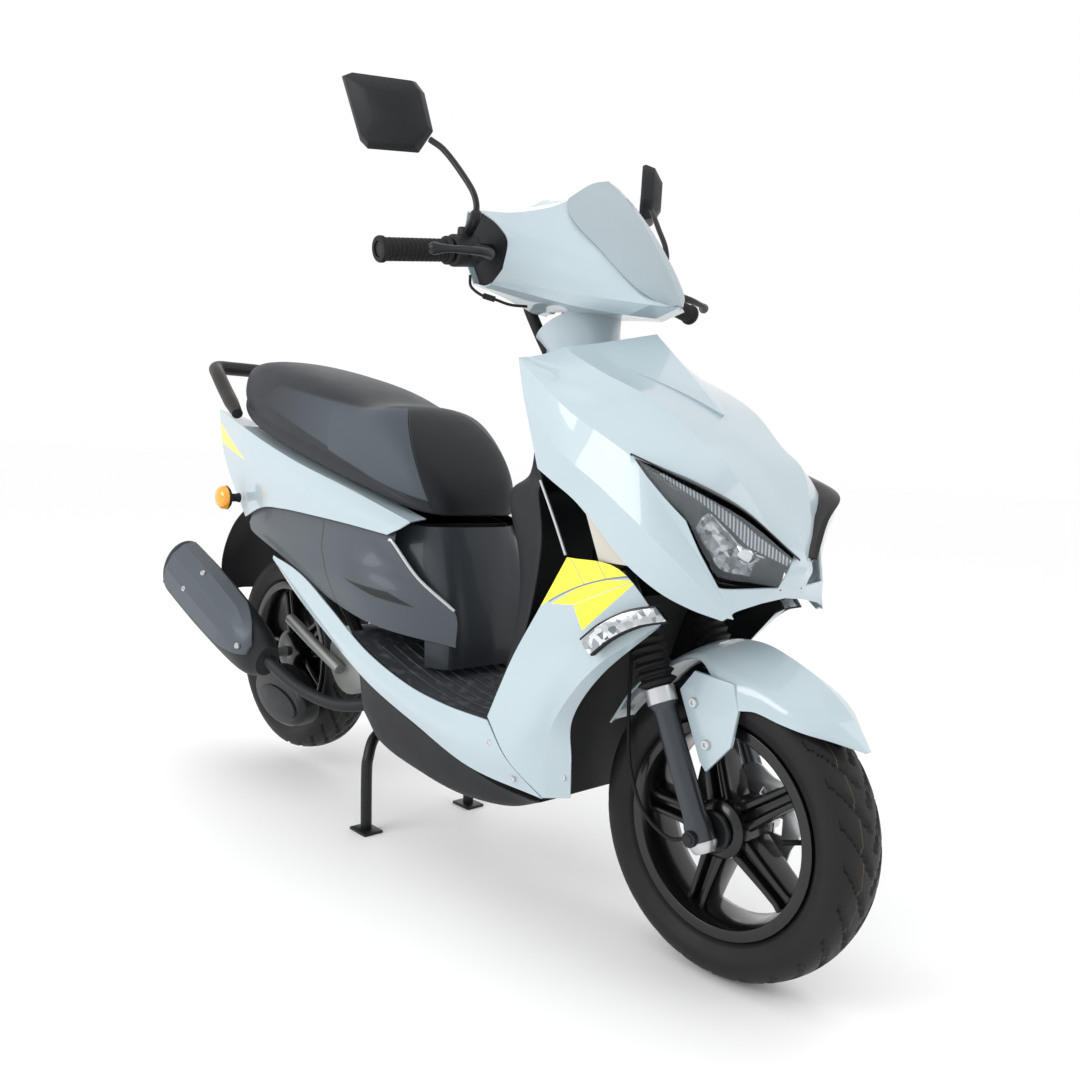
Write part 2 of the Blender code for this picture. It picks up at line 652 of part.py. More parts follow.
def headlight_unit():
    """Twin lamp bodies joined behind the nose."""
    unit = add_part("headlight_unit", headlight_prism(-1, -0.002, -0.003, 0.045), "lens")
    join(unit, add_cutter("left_lamp", headlight_prism(1, -0.002, -0.003, 0.045)))
    join(unit, add_cutter("lamp_bridge", box_mesh("lamp_bridge", (0.020, 0.14, 0.020), (0.690, 0, 0.640))))


def front_indicator(side):
    """Slim strip on the upper front edge of the leg shield wing."""
    ends = ((0.538, 0.196, 0.492), (0.570, 0.190, 0.520), (0.606, 0.176, 0.542), (0.642, 0.158, 0.553))
    rings = []
    for x, y, z in ends:
        ring = [(x - 0.010, y, z + 0.012), (x + 0.012, y - 0.004, z - 0.010)]
        ring += [(x + 0.012, y + 0.005, z - 0.010), (x - 0.010, y + 0.009, z + 0.012)]
        rings.append([(px, side * py, pz) for px, py, pz in ring])
    name = "front_indicator_" + side_name(side)
    add_part(name, to_mesh(name, ring_solid(rings)), "lens")


def leg_shield(side):
    rows = [
        [(0.463, 0.174, 0.612), (0.423, 0.186, 0.533), (0.376, 0.190, 0.456), (0.346, 0.191, 0.398),
         (0.318, 0.191, 0.341)],
        [(0.562, 0.168, 0.606), (0.502, 0.190, 0.512), (0.458, 0.194, 0.430), (0.410, 0.193, 0.350),
         (0.368, 0.188, 0.282)],
        [(0.632, 0.150, 0.538), (0.546, 0.183, 0.466), (0.475, 0.182, 0.386), (0.440, 0.174, 0.320),
         (0.424, 0.160, 0.230)],
        [(0.620, 0.140, 0.530), (0.540, 0.165, 0.450), (0.480, 0.160, 0.370), (0.470, 0.148, 0.300),
         (0.462, 0.138, 0.236)],
    ]
    panel("leg_shield_" + side_name(side), rows, "paint", (0.45, 0, 0.45), side=side, along=2, sharp=(2,))


def inner_leg_shield():
    rows = [
        [(0.272, 0, 0.850), (0.280, 0, 0.800), (0.280, 0, 0.725), (0.240, 0, 0.690), (0.265, 0, 0.600),
         (0.290, 0, 0.480), (0.300, 0, 0.345)],
        [(0.285, 0.085, 0.850), (0.290, 0.085, 0.800), (0.288, 0.085, 0.725), (0.250, 0.085, 0.690),
         (0.270, 0.085, 0.600), (0.292, 0.085, 0.480), (0.300, 0.085, 0.345)],
        [(0.335, 0.138, 0.860), (0.340, 0.138, 0.800), (0.335, 0.138, 0.730), (0.285, 0.135, 0.690),
         (0.312, 0.130, 0.585), (0.318, 0.140, 0.480), (0.306, 0.160, 0.350)],
        [(0.345, 0.156, 0.862), (0.372, 0.174, 0.790), (0.392, 0.168, 0.722), (0.385, 0.166, 0.700),
         (0.400, 0.170, 0.620), (0.378, 0.176, 0.480), (0.314, 0.178, 0.352)],
    ]
    panel("inner_leg_shield", rows, "black_plastic", (0.60, 0, 0.60), whole=True)


def front_inner_fender():
    rows = [
        [(0.385, y, 0.205), (0.386, y, 0.300), (0.394, y, 0.400), (0.408, y, 0.480), (0.432, y, 0.535)]
        for y in (0, 0.070)
    ]
    rows.append([(0.392, 0.120, 0.212), (0.396, 0.128, 0.300), (0.406, 0.140, 0.400), (0.424, 0.150, 0.480),
                 (0.450, 0.150, 0.535)])
    panel("front_inner_fender", rows, "black_plastic", (0.2, 0, 0.4), whole=True)


def floor_board():
    line = ((0.292, 0.327), (0.200, 0.328), (0.080, 0.350), (-0.040, 0.386), (-0.095, 0.410))
    rows = [[(x, y, z) for x, z in line] for y in (0, 0.095, 0.183)]
    panel("floor_board", rows, "black_plastic", (0.1, 0, 0.0), whole=True, thickness=0.010)


def sill(side):
    rows = [
        [(-0.425, 0.170, 0.516), (-0.290, 0.181, 0.492), (-0.165, 0.191, 0.446), (-0.030, 0.197, 0.388),
         (0.100, 0.198, 0.352), (0.210, 0.196, 0.337), (0.308, 0.192, 0.326)],
        [(-0.420, 0.174, 0.510), (-0.290, 0.187, 0.462), (-0.150, 0.199, 0.405), (-0.020, 0.203, 0.358),
         (0.110, 0.203, 0.318), (0.240, 0.199, 0.290), (0.354, 0.187, 0.272)],
        [(-0.415, 0.172, 0.503), (-0.290, 0.180, 0.438), (-0.140, 0.192, 0.378), (-0.010, 0.196, 0.326),
         (0.130, 0.193, 0.284), (0.270, 0.183, 0.243), (0.412, 0.160, 0.220)],
    ]
    panel("sill_" + side_name(side), rows, "paint", (0, 0, 0.4), side=side, along=2)


def belly_panel():
    rows = [
        [(-0.060, y, 0.236), (-0.010, y, 0.203), (0.090, y, 0.182), (0.200, y, 0.168), (0.310, y, 0.176),
         (0.372, y, 0.198)]
        for y in (0, 0.105)
    ]
    rows.append([(-0.064, 0.166, 0.250), (-0.012, 0.167, 0.213), (0.090, 0.162, 0.191), (0.200, 0.155, 0.178),
                 (0.310, 0.144, 0.184), (0.378, 0.128, 0.203)])
    rows.append([(-0.070, 0.182, 0.338), (-0.010, 0.186, 0.316), (0.090, 0.185, 0.286), (0.200, 0.179, 0.254),
                 (0.310, 0.166, 0.224), (0.386, 0.150, 0.212)])
    panel("belly_panel", rows, "black_plastic", (0.1, 0, 0.5), whole=True)


def side_panel(side):
    rows = [
        [(0.000, 0.158, 0.604), (-0.120, 0.163, 0.616), (-0.250, 0.158, 0.622), (-0.380, 0.153, 0.622),
         (-0.490, 0.143, 0.618), (-0.600, 0.128, 0.596)],
        [(0.005, 0.164, 0.586), (-0.120, 0.170, 0.595), (-0.250, 0.165, 0.600), (-0.380, 0.158, 0.602),
         (-0.490, 0.148, 0.600), (-0.600, 0.134, 0.578)],
        [(0.047, 0.138, 0.526), (-0.080, 0.184, 0.545), (-0.220, 0.184, 0.558), (-0.360, 0.172, 0.566),
         (-0.480, 0.158, 0.573), (-0.600, 0.137, 0.570)],
        [(0.104, 0.098, 0.471), (-0.040, 0.184, 0.490), (-0.200, 0.188, 0.508), (-0.340, 0.178, 0.528),
         (-0.470, 0.160, 0.549), (-0.590, 0.138, 0.556)],
        [(0.109, 0.096, 0.427), (-0.020, 0.172, 0.412), (-0.165, 0.182, 0.456), (-0.300, 0.175, 0.495),
         (-0.430, 0.160, 0.522), (-0.575, 0.136, 0.546)],
    ]
    panel("side_panel_" + side_name(side), rows, "dark_panel", (-0.2, 0, 0.53), side=side, along=2)


def tail_panel(side):
    rows = [
        [(0.020, 0.105, 0.630), (-0.167, 0.105, 0.674), (-0.363, 0.105, 0.714), (-0.530, 0.098, 0.752),
         (-0.664, 0.085, 0.787), (-0.790, 0.060, 0.806)],
        [(0.033, 0.150, 0.626), (-0.167, 0.152, 0.672), (-0.363, 0.150, 0.712), (-0.530, 0.143, 0.752),
         (-0.664, 0.132, 0.787), (-0.840, 0.096, 0.820)],
        [(0.022, 0.168, 0.612), (-0.150, 0.170, 0.640), (-0.330, 0.168, 0.665), (-0.490, 0.158, 0.685),
         (-0.620, 0.142, 0.696), (-0.775, 0.112, 0.705)],
        [(-0.010, 0.170, 0.599), (-0.140, 0.174, 0.608), (-0.280, 0.170, 0.613), (-0.410, 0.162, 0.615),
         (-0.520, 0.150, 0.609), (-0.630, 0.132, 0.580)],
    ]
    panel("tail_panel_" + side_name(side), rows, "paint", (-0.3, 0, 0.65), side=side, along=2, sharp=(1,))


def seat_front_panel():
    rows = []
    levels = ((0.616, 0.048, 0.022, -0.050, 0.140), (0.560, 0.068, 0.052, -0.020, 0.145),
              (0.490, 0.088, 0.080, 0.030, 0.128), (0.420, 0.100, 0.094, 0.050, 0.124),
              (0.362, 0.100, 0.094, 0.052, 0.122))
    for z, front, corner, back, width in levels:
        rows.append([(front, 0, z), (front - 0.003, 0.055, z), (corner, 0.100, z), (back, width, z)])
    panel("seat_front_panel", [list(row) for row in zip(*rows)], "black_plastic", (-0.2, 0, 0.5), whole=True)


def seat():
    """Stepped cushion with a crown, drawn-in sides and a cross channel at the step."""
    stations = ((0.046, 0.636, 0.662, 0.060), (0.030, 0.635, 0.700, 0.095), (0.000, 0.640, 0.737, 0.122),
                (-0.040, 0.650, 0.782, 0.138), (-0.095, 0.664, 0.828, 0.147), (-0.135, 0.674, 0.843, 0.150),
                (-0.185, 0.684, 0.838, 0.151),
                (-0.225, 0.692, 0.852, 0.151), (-0.310, 0.710, 0.884, 0.149), (-0.420, 0.733, 0.906, 0.145),
                (-0.530, 0.760, 0.925, 0.139), (-0.640, 0.790, 0.938, 0.124), (-0.715, 0.824, 0.930, 0.098),
                (-0.742, 0.868, 0.905, 0.060))
    shape = ((0, 0.0), (0.86, 0.0), (0.985, 0.06), (0.97, 0.30), (0.985, 0.58), (0.84, 0.85), (0.50, 0.975))
    rings = []
    for x, low, high, width in stations:
        half = [(width * across, low + (high - low) * up) for across, up in shape]
        ring = half + [(0, high)] + [(-y, z) for y, z in reversed(half[1:])]
        rings.append([(x, y, z) for y, z in ring])
    add_part("seat", to_mesh("seat", ring_solid(rings)), "vinyl")


def storage_box():
    """Open bucket under the seat."""
    rows = []
    for level, grow in ((0.0, 0.0), (0.5, 0.006), (1.0, 0.010)):
        row = []
        for x, y in ((-0.020, 0), (-0.020, 0.100), (-0.285, 0.100), (-0.285, 0)):
            lip = 0.618 if x > -0.1 else 0.668
            outward = grow if x > -0.1 else -grow
            row.append((x + outward, y + (grow if y else 0), 0.472 + (lip - 0.472) * level))
        rows.append(row)
    mesh = surface("storage_box", rows)
    floor = [vert for vert in mesh.verts if abs(vert.co.z - 0.472) < 0.0001]
    mesh.faces.new(floor)
    face_away(mesh, (-0.14, 0.02, 0.55))
    box = add_part("storage_box", to_mesh("storage_box", mesh), "black_plastic")
    mirror_half(box)
    thicken(box, PANEL)


def grab_rail():
    half = [(-0.690, 0.124, 0.809), (-0.760, 0.113, 0.850), (-0.830, 0.103, 0.897), (-0.878, 0.085, 0.918)]
    half.append((-0.8842, 0.040, 0.921))
    path = spline(half + [(x, -y, z) for x, y, z in reversed(half)], 2)
    sizes = [0.75] + [1] * (len(path) - 2) + [0.75]
    add_part("grab_rail", tube_mesh("grab_rail", path, 0.0165, 2, sizes), "black_metal")


def tail_light():
    rings = []
    for x, low, high, width in ((-0.700, 0.725, 0.775, 0.060), (-0.760, 0.728, 0.792, 0.082),
                                (-0.800, 0.742, 0.800, 0.080), (-0.812, 0.760, 0.796, 0.055)):
        rings.append([(x, -width, low + 0.012), (x, 0, low), (x, width, low + 0.012), (x, width, high),
                      (x, -width, high)])
    add_part("tail_light", to_mesh("tail_light", ring_solid(rings)), "red")


def rear_indicator(side):
    profile = [(0, 0.142), (0.011, 0.142), (0.009, 0.166), (0.025, 0.172), (0.027, 0.186), (0.016, 0.202), (0, 0.204)]
    at = (-0.640, 0, 0.622)
    turned("rear_indicator_" + side_name(side), profile[::-1], "amber", at, (0, side, 0), 16)


def rear_mudguard():
    line = ((-0.600, 0.632), (-0.700, 0.612), (-0.790, 0.556), (-0.845, 0.470), (-0.838, 0.385))
    rows = [[(x, y, z - 0.012 * (y > 0.05)) for x, z in line] for y in (0, 0.045, 0.085)]
    panel("rear_mudguard", rows, "black_plastic", (-0.6, 0, 0.30), whole=True)


def frame():
    """Head tube, spine, two seat rails, cross tubes, swing pin and stand lugs."""
    outer = tube_profile(0.027, STEM_RADIUS + GAP, HEAD_TUBE_LOW, HEAD_TUBE_HIGH)
    body = turned("frame", outer, "black_metal", STEER_FOOT, STEER_UP, 20)
    spine = [axis_point(0.775) + Vector((-0.032, 0, -0.010)), (0.366, 0, 0.620), (0.356, 0, 0.500),
             (0.352, 0, 0.400), (0.342, 0, 0.320), (0.322, 0, 0.282), (0.290, 0, 0.260), (0.100, 0, 0.255),
             (-0.100, 0, 0.262)]
    join(body, add_cutter("spine", tube_mesh("spine", spine, 0.014)))
    for side in (-1, 1):
        rail = [(-0.100, side * 0.130, 0.258), (-0.104, side * 0.133, 0.340), (-0.180, side * 0.137, 0.430),
                (-0.320, side * 0.138, 0.545), (-0.560, side * 0.116, 0.650), (-0.680, side * 0.096, 0.690)]
        join(body, add_cutter("rail", tube_mesh("rail", rail, TUBE)))
        lug = [(-0.092, 0.268), (-0.108, 0.268), (-0.166, 0.204), (-0.166, 0.186), (-0.140, 0.178), (-0.090, 0.255)]
        low, high = sorted((side * 0.034, side * 0.042))
        join(body, add_cutter("stand_lug", plate_mesh("stand_lug", lug, low, high)))
    for x, z, reach in ((-0.100, 0.262, 0.131), (-0.560, 0.650, 0.117)):
        cross = [(x, -reach, z), (x, reach, z)]
        join(body, add_cutter("cross_tube", tube_mesh("cross_tube", cross, 0.011)))
    pin = rod_profile(SWING_PIN_RADIUS, -0.134, 0.134)
    join(body, turned_tool("swing_pin", pin, SWING_PIVOT, (0, 1, 0), 16))
    shaft = rod_profile(STAND_TUBE + GAP, -0.1, 0.1)
    cut(body, turned_tool("stand_bore", shaft, STAND_PIVOT, (0, 1, 0), 16))


def engine_case():
    """Crankcase, cylinder, belt case on the left, output shaft and hanger lugs."""
    crank = Vector((-0.275, 0, 0.310))
    case = turned("engine_case", rod_profile(0.072, -0.078, 0.068), "alloy", crank, (0, 1, 0), 24)
    outline = []
    for centre, radius, first, last in ((crank, 0.078, 60, -90), (REAR_AXLE, 0.066, -90, -300)):
        for step in range(7):
            angle = radians(first + (last - first) * step / 6)
            outline.append((centre.x + radius * cos(angle), centre.z + radius * sin(angle)))
    join(case, add_cutter("belt_case", plate_mesh("belt_case", outline, 0.066, 0.128)))
    shaft = rod_profile(REAR_SHAFT_RADIUS, -0.074, 0.080)
    join(case, turned_tool("output_shaft", shaft, REAR_AXLE, (0, 1, 0), 16))
    join(case, add_cutter("cylinder", box_mesh("cylinder", (0.110, 0.062, 0.090), (-0.178, 0, 0.305))))
    for side in (-1, 1):
        lug = [(-0.290, 0.365), (-0.120, 0.342), (-0.090, 0.337), (-0.090, 0.313), (-0.120, 0.308), (-0.290, 0.290)]
        low, high = sorted((side * 0.040, side * 0.060))
        join(case, add_cutter("hanger", plate_mesh("hanger", lug, low, high)))
    hole = rod_profile(SWING_PIN_RADIUS + GAP, -0.09, 0.09)
    cut(case, turned_tool("hanger_hole", hole, SWING_PIVOT, (0, 1, 0), 16))
    join(case, add_cutter("shock_lug", plate_mesh(
        "shock_lug", [(-0.512, 0.320), (-0.548, 0.320), (-0.541, 0.386), (-0.519, 0.386)], 0.066, 0.086)))


def muffler():
    """Header pipe and oval silencer on the right, rising to the rear."""
    sections = ((-0.425, -0.180, 0.290, 0.026, 0.036), (-0.470, -0.190, 0.312, 0.044, 0.060),
                (-0.630, -0.196, 0.378, 0.049, 0.073), (-0.775, -0.200, 0.436, 0.048, 0.074),
                (-0.812, -0.200, 0.450, 0.034, 0.052))
    slope = radians(22)
    rings = []
    for x, y, z, across, up in sections:
        ring = []
        for step in range(14):
            angle = 2 * pi * step / 14
            lift = up * sin(angle)
            ring.append((x + lift * sin(slope), y + across * cos(angle), z + lift * cos(slope)))
        rings.append(ring)
    body = add_part("muffler", to_mesh("muffler", ring_solid(rings)), "black_metal")
    pipe = [(-0.170, -0.0335, 0.250), (-0.185, -0.075, 0.236), (-0.260, -0.115, 0.224), (-0.350, -0.150, 0.246),
            (-0.440, -0.182, 0.298)]
    join(body, add_cutter("header_pipe", tube_mesh("header_pipe", spline(pipe, 2), 0.013)))


def shock():
    """Rear shock on the left: body, rod with its lower eye, and a coil spring."""
    down = (SHOCK_LOW - SHOCK_TOP).normalized()
    length = (SHOCK_LOW - SHOCK_TOP).length
    bore = 0.0065
    profile = [(0, -0.012), (0.012, -0.012), (0.014, 0.010), (0.0245, 0.014), (0.0245, 0.020), (0.019, 0.024)]
    profile += [(0.019, 0.112), (bore + GAP, 0.112), (bore + GAP, 0.030), (0, 0.030)]
    turned("shock_body", profile[::-1], "black_metal", SHOCK_TOP, down, 18)
    rod = [(0, 0.098), (bore, 0.098), (bore, length - 0.040), (0.034, length - 0.038), (0.034, length - 0.032)]
    rod += [(0.012, length - 0.030), (0.012, length + 0.012), (0, length + 0.012)]
    turned("shock_rod", rod[::-1], "steel", SHOCK_TOP, down, 18)
    side = down.cross(Vector((0, 1, 0))).normalized()
    low = 0.020 + SPRING_WIRE + 2 * GAP
    high = length - 0.038 - SPRING_WIRE - 2 * GAP
    points = []
    per_curl = 9
    total = SPRING_CURLS * per_curl
    for step in range(total + 1):
        angle = 2 * pi * step / per_curl
        offset = side * cos(angle) + Vector((0, 1, 0)) * sin(angle)
        points.append(SHOCK_TOP + down * (low + (high - low) * step / total) + offset * SPRING_RADIUS)
    apart = [(a - b).length for i, a in enumerate(points) for b in points[i + per_curl - 2:]]
    print("shock spring least gap to itself, mm:", round((min(apart) - 2 * SPRING_WIRE) * 1000, 2))
    add_part("shock_spring", tube_mesh("shock_spring", points, SPRING_WIRE, 1), "black_metal")


def centre_stand():
    """Bent tube stand with a flat pad under each foot."""
    foot = STAND_FOOT
    right = [(foot.x, -foot.y, 0.004), (foot.x - 0.004, -foot.y, 0.120), (foot.x - 0.008, -0.122, 0.150),
             (foot.x - 0.020, -0.105, 0.176), (STAND_PIVOT.x + 0.006, -0.080, 0.190),
             (STAND_PIVOT.x, -0.062, STAND_PIVOT.z), (STAND_PIVOT.x, -0.020, STAND_PIVOT.z)]
    path = right + [(x, -y, z) for x, y, z in reversed(right)]
    stand = add_part("centre_stand", tube_mesh("centre_stand", path, STAND_TUBE, 2), "black_metal")
    for side in (-1, 1):
        pad = box_mesh("stand_pad", (0.055, 0.042, 0.006), (foot.x, side * foot.y, 0.003))
        join(stand, add_cutter("stand_pad", pad))


def build():
    tyre("front_tyre", FRONT_AXLE)
    tyre("rear_tyre", REAR_AXLE)
    rim("front_rim", FRONT_AXLE, 0.045, 0.046, AXLE_RADIUS + GAP, 0.024)
    rim("rear_rim", REAR_AXLE, 0.050, 0.052, REAR_SHAFT_RADIUS + GAP, 0.024)
    brake_disc()
    brake_caliper()
    front_axle()
    front_fender()
    speedo_cable()
    fork_crown()
    handlebar()
    headset_cover()
    neck_shroud()
    grip("throttle_grip", -1)
    grip("left_grip", 1)
    button("start_button", -1)
    button("horn_button", 1)
    for side in (-1, 1):
        fork_leg(side)
        gaiter(side)
        switch_pod(side)
        brake_lever(side)
        mirror_stem(side)
        mirror_head(side)
        front_indicator(side)
        leg_shield(side)
        sill(side)
        side_panel(side)
        tail_panel(side)
        rear_indicator(side)
    front_fairing()
    headlight_unit()
    inner_leg_shield()
    front_inner_fender()
    floor_board()
    belly_panel()
    seat_front_panel()
    seat()
    storage_box()
    grab_rail()
    tail_light()
    rear_mudguard()
    frame()
    engine_case()
    muffler()
    shock()
    centre_stand()


build()
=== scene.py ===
"""Looks of the moped scooter: +X forward, +Y to the rider's left, +Z up, metres."""
from math import cos, pi, radians, sin

import bmesh
import bpy
from mathutils import Matrix, Vector


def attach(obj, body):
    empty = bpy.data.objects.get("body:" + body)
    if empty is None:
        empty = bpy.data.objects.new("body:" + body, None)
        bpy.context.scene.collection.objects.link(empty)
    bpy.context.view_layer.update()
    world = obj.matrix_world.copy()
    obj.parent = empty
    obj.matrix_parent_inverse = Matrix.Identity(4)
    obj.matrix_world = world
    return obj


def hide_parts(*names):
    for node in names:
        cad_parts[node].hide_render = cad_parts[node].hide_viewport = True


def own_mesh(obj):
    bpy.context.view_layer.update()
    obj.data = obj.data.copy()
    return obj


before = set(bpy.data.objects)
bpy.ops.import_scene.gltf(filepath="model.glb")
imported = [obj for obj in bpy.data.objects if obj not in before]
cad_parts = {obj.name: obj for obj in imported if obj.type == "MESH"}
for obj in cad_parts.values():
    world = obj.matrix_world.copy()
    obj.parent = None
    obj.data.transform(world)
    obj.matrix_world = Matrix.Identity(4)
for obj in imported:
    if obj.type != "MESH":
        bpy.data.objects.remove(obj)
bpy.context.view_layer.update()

TYRE_RADIUS = 0.2294
FRONT_AXLE = Vector((0.672, 0, TYRE_RADIUS))
REAR_AXLE = Vector((-0.587, 0, 0.2695))
CASTER = radians(26)
STEER_UP = Vector((-sin(CASTER), 0, cos(CASTER)))
STEER_FOOT = Vector((0.755, 0, 0))
LEG_HALF_TRACK = 0.079
BAR_ROOT = Vector((0.240, 0.160, 1.070))
BAR_TIP = Vector((0.224, 0.360, 1.040))
MIRROR_TURN = radians(42)
SHOCK_TOP = Vector((-0.440, 0.105, 0.575))
SHOCK_LOW = Vector((-0.530, 0.105, 0.372))
STAND_PIVOT = Vector((-0.149, 0, 0.195))
STAND_FOOT = Vector((-0.1125, 0.128, 0))
SPRING_TURNS = 7
SPRING_STEPS = 24
FAN_CENTRE = (0.6443, 0.2217)
FAN_ARC = (0.3794, 0.3822)
SEAT_CORNER = 0.322
REAR_LAMP = (-0.640, 0, 0.622)


class Shade:
    """One value in a material's node tree; arithmetic on it adds the nodes."""

    def __init__(self, tree, socket):
        self.tree = tree
        self.socket = socket

    def add(self, kind, settings=None, sockets=None, output=0):
        """Add any node: its type, its settings and what goes into its sockets."""
        node = self.tree.nodes.new(kind)
        for name, value in (settings or {}).items():
            setattr(node, name, value)
        for key, value in (sockets or {}).items():
            if isinstance(value, Shade):
                self.tree.links.new(value.socket, node.inputs[key])
            else:
                node.inputs[key].default_value = value
        return Shade(self.tree, node.outputs[output])

    def maths(self, operation, *values):
        return self.add("ShaderNodeMath", {"operation": operation}, dict(enumerate((self, *values))))

    def __add__(self, other):
        return self.maths("ADD", other)

    __radd__ = __add__

    def __sub__(self, other):
        return self.maths("SUBTRACT", other)

    def __rsub__(self, other):
        return self.maths("MULTIPLY_ADD", -1.0, other)

    def __mul__(self, other):
        return self.maths("MULTIPLY", other)

    __rmul__ = __mul__

    def __truediv__(self, other):
        return self.maths("DIVIDE", other)

    def over(self, low, soft=0.0004):
        """One where the value is over a limit, with a narrow soft edge."""
        return ((self - low) / soft).maths("MINIMUM", 1.0).maths("MAXIMUM", 0.0)

    def band(self, low, high, soft=0.0004):
        return self.over(low, soft) * (1.0 - self.over(high, soft))

    def noise(self, scale, detail=2.0):
        return self.add("ShaderNodeTexNoise", {}, {"Vector": self, "Scale": scale, "Detail": detail})

    def part(self, axis):
        """X, Y or Z of a vector."""
        return self.add("ShaderNodeSeparateXYZ", {}, {0: self}, "XYZ".index(axis))

    def mix(self, first, second):
        """Colour between two others by this value."""
        return self.add("ShaderNodeMix", {"data_type": "RGBA"}, {0: self, 6: first, 7: second}, 2)


def colour(red, green, blue):
    """Linear colour from 0 to 255 display values."""
    parts = [value / 255 for value in (red, green, blue)]
    return (*[part / 12.92 if part < 0.04045 else ((part + 0.055) / 1.055) ** 2.4 for part in parts], 1)


def tint(base, share):
    """Colour scaled by a share, kept within range."""
    return (*[min(1, part * share) for part in base[:3]], 1)


def material(name, base, rough=0.4, metal=0.0, spread=0.08, wear=0.08, grain=0.0, grain_size=900.0,
             coat=0.0, paint=None, **constants):
    """Procedural finish: mottled colour, uneven roughness and a grained surface."""
    made = bpy.data.materials.new(name)
    made.use_nodes = True
    tree = made.node_tree
    shader = tree.nodes["Principled BSDF"]
    place = Shade(tree, tree.nodes.new("ShaderNodeTexCoord").outputs["Object"])
    tone = place.noise(7.0, 3.0).mix(tint(base, 1 - spread), tint(base, 1 + spread))
    roughness = (place.noise(23.0, 4.0) - 0.5) * (2 * wear) + rough
    if grain or paint:
        height = place.noise(grain_size, 1.0) * grain
        if paint:
            tone, roughness, raised = paint(place, tone, roughness)
            height = height + raised
        bump = place.add("ShaderNodeBump", {}, {"Distance": 0.0006, "Height": height})
        tree.links.new(bump.socket, shader.inputs["Normal"])
    tree.links.new(tone.socket, shader.inputs["Base Color"])
    tree.links.new(roughness.socket, shader.inputs["Roughness"])
    shader.inputs["Metallic"].default_value = metal
    shader.inputs["Coat Weight"].default_value = coat
    shader.inputs["Coat Roughness"].default_value = 0.03
    for key, value in constants.items():
        shader.inputs[key.replace("_", " ")].default_value = value
    LOOKS[name] = made


def patch(place, outline, soft=0.0008):
    """One inside a convex outline of (x, z) pairs that runs counter-clockwise."""
    x = place.part("X")
    z = place.part("Z")
    inside = None
    for (x1, z1), (x2, z2) in zip(outline, outline[1:] + outline[:1]):
        length = ((x2 - x1) ** 2 + (z2 - z1) ** 2) ** 0.5
        across = (z1 - z2) / length
        up = (x2 - x1) / length
        edge = (x * across + z * up).over(x1 * across + z1 * up, soft)
        inside = edge if inside is None else inside * edge
    return inside


def stripe(place, start, end, half):
    """One along a straight line between two (x, z) pairs."""
    ahead = Vector((end[0] - start[0], end[1] - start[1])).normalized() * half
    return patch(place, ((start[0] + ahead.y, start[1] - ahead.x), (end[0] + ahead.y, end[1] - ahead.x),
                         (end[0] - ahead.y, end[1] + ahead.x), (start[0] - ahead.y, start[1] + ahead.x)))


def outer_face(place):
    """One where a side panel faces away from the middle plane."""
    facing = place.add("ShaderNodeTexCoord", {}, {}, 1)
    return (facing.part("Y") * place.part("Y")).over(-0.02, 0.01)


def yellow_fan(place, tone, roughness):
    """Plain yellow fan in two fields, parted by an arc and two thin lines, on the leg shield."""
    x = place.part("X") - FAN_CENTRE[0]
    z = place.part("Z") - FAN_CENTRE[1]
    arc = (x * x + z * z).maths("SQRT")
    lower = patch(place, ((0.446, 0.5405), (0.493, 0.546), (0.592, 0.594), (0.515, 0.585)))
    lower = lower.maths("MAXIMUM", patch(place, ((0.493, 0.546), (0.517, 0.512), (0.594, 0.594))))
    lines = stripe(place, (0.470, 0.611), (0.507, 0.577), 0.001)
    lines = lines + stripe(place, (0.522, 0.613), (0.545, 0.588), 0.001)
    yellow = arc.over(FAN_ARC[1]) + lower * (1.0 - arc.over(FAN_ARC[0]))
    tone = yellow.mix(tone, colour(244, 238, 52))
    corners = ((0.440, 0.535), (0.610, 0.590), (0.600, 0.612), (0.440, 0.560))
    edge = arc.band(*FAN_ARC) * patch(place, corners)
    tone = (lines + edge).mix(tone, colour(120, 126, 122))
    return outer_face(place).mix(BARE_PLASTIC, tone), roughness, 0.0


def yellow_stripe(place, tone, roughness):
    """Plain tapering yellow wedge along the tail panel."""
    wedge = patch(place, ((-0.840, 0.796), (-0.800, 0.742), (-0.605, 0.706)))
    tone = wedge.mix(tone, colour(238, 232, 60))
    return outer_face(place).mix(BARE_PLASTIC, tone), roughness, 0.0


def side_marks(place, tone, roughness):
    """Seam of the service lid, and a slanted slot in the side panel painted dark as shade inside it."""
    seam = stripe(place, (-0.236, 0.606), (-0.150, 0.452), 0.0012)
    slot = patch(place, ((-0.128, 0.512), (-0.030, 0.484), (0.050, 0.469), (-0.005, 0.496)), 0.002)
    # The seam is a dark joint; the slot's dark colour is painted shade in its recess.
    dark = seam.maths("MAXIMUM", slot)
    return dark.mix(tone, colour(30, 33, 36)), roughness, dark * -2.0


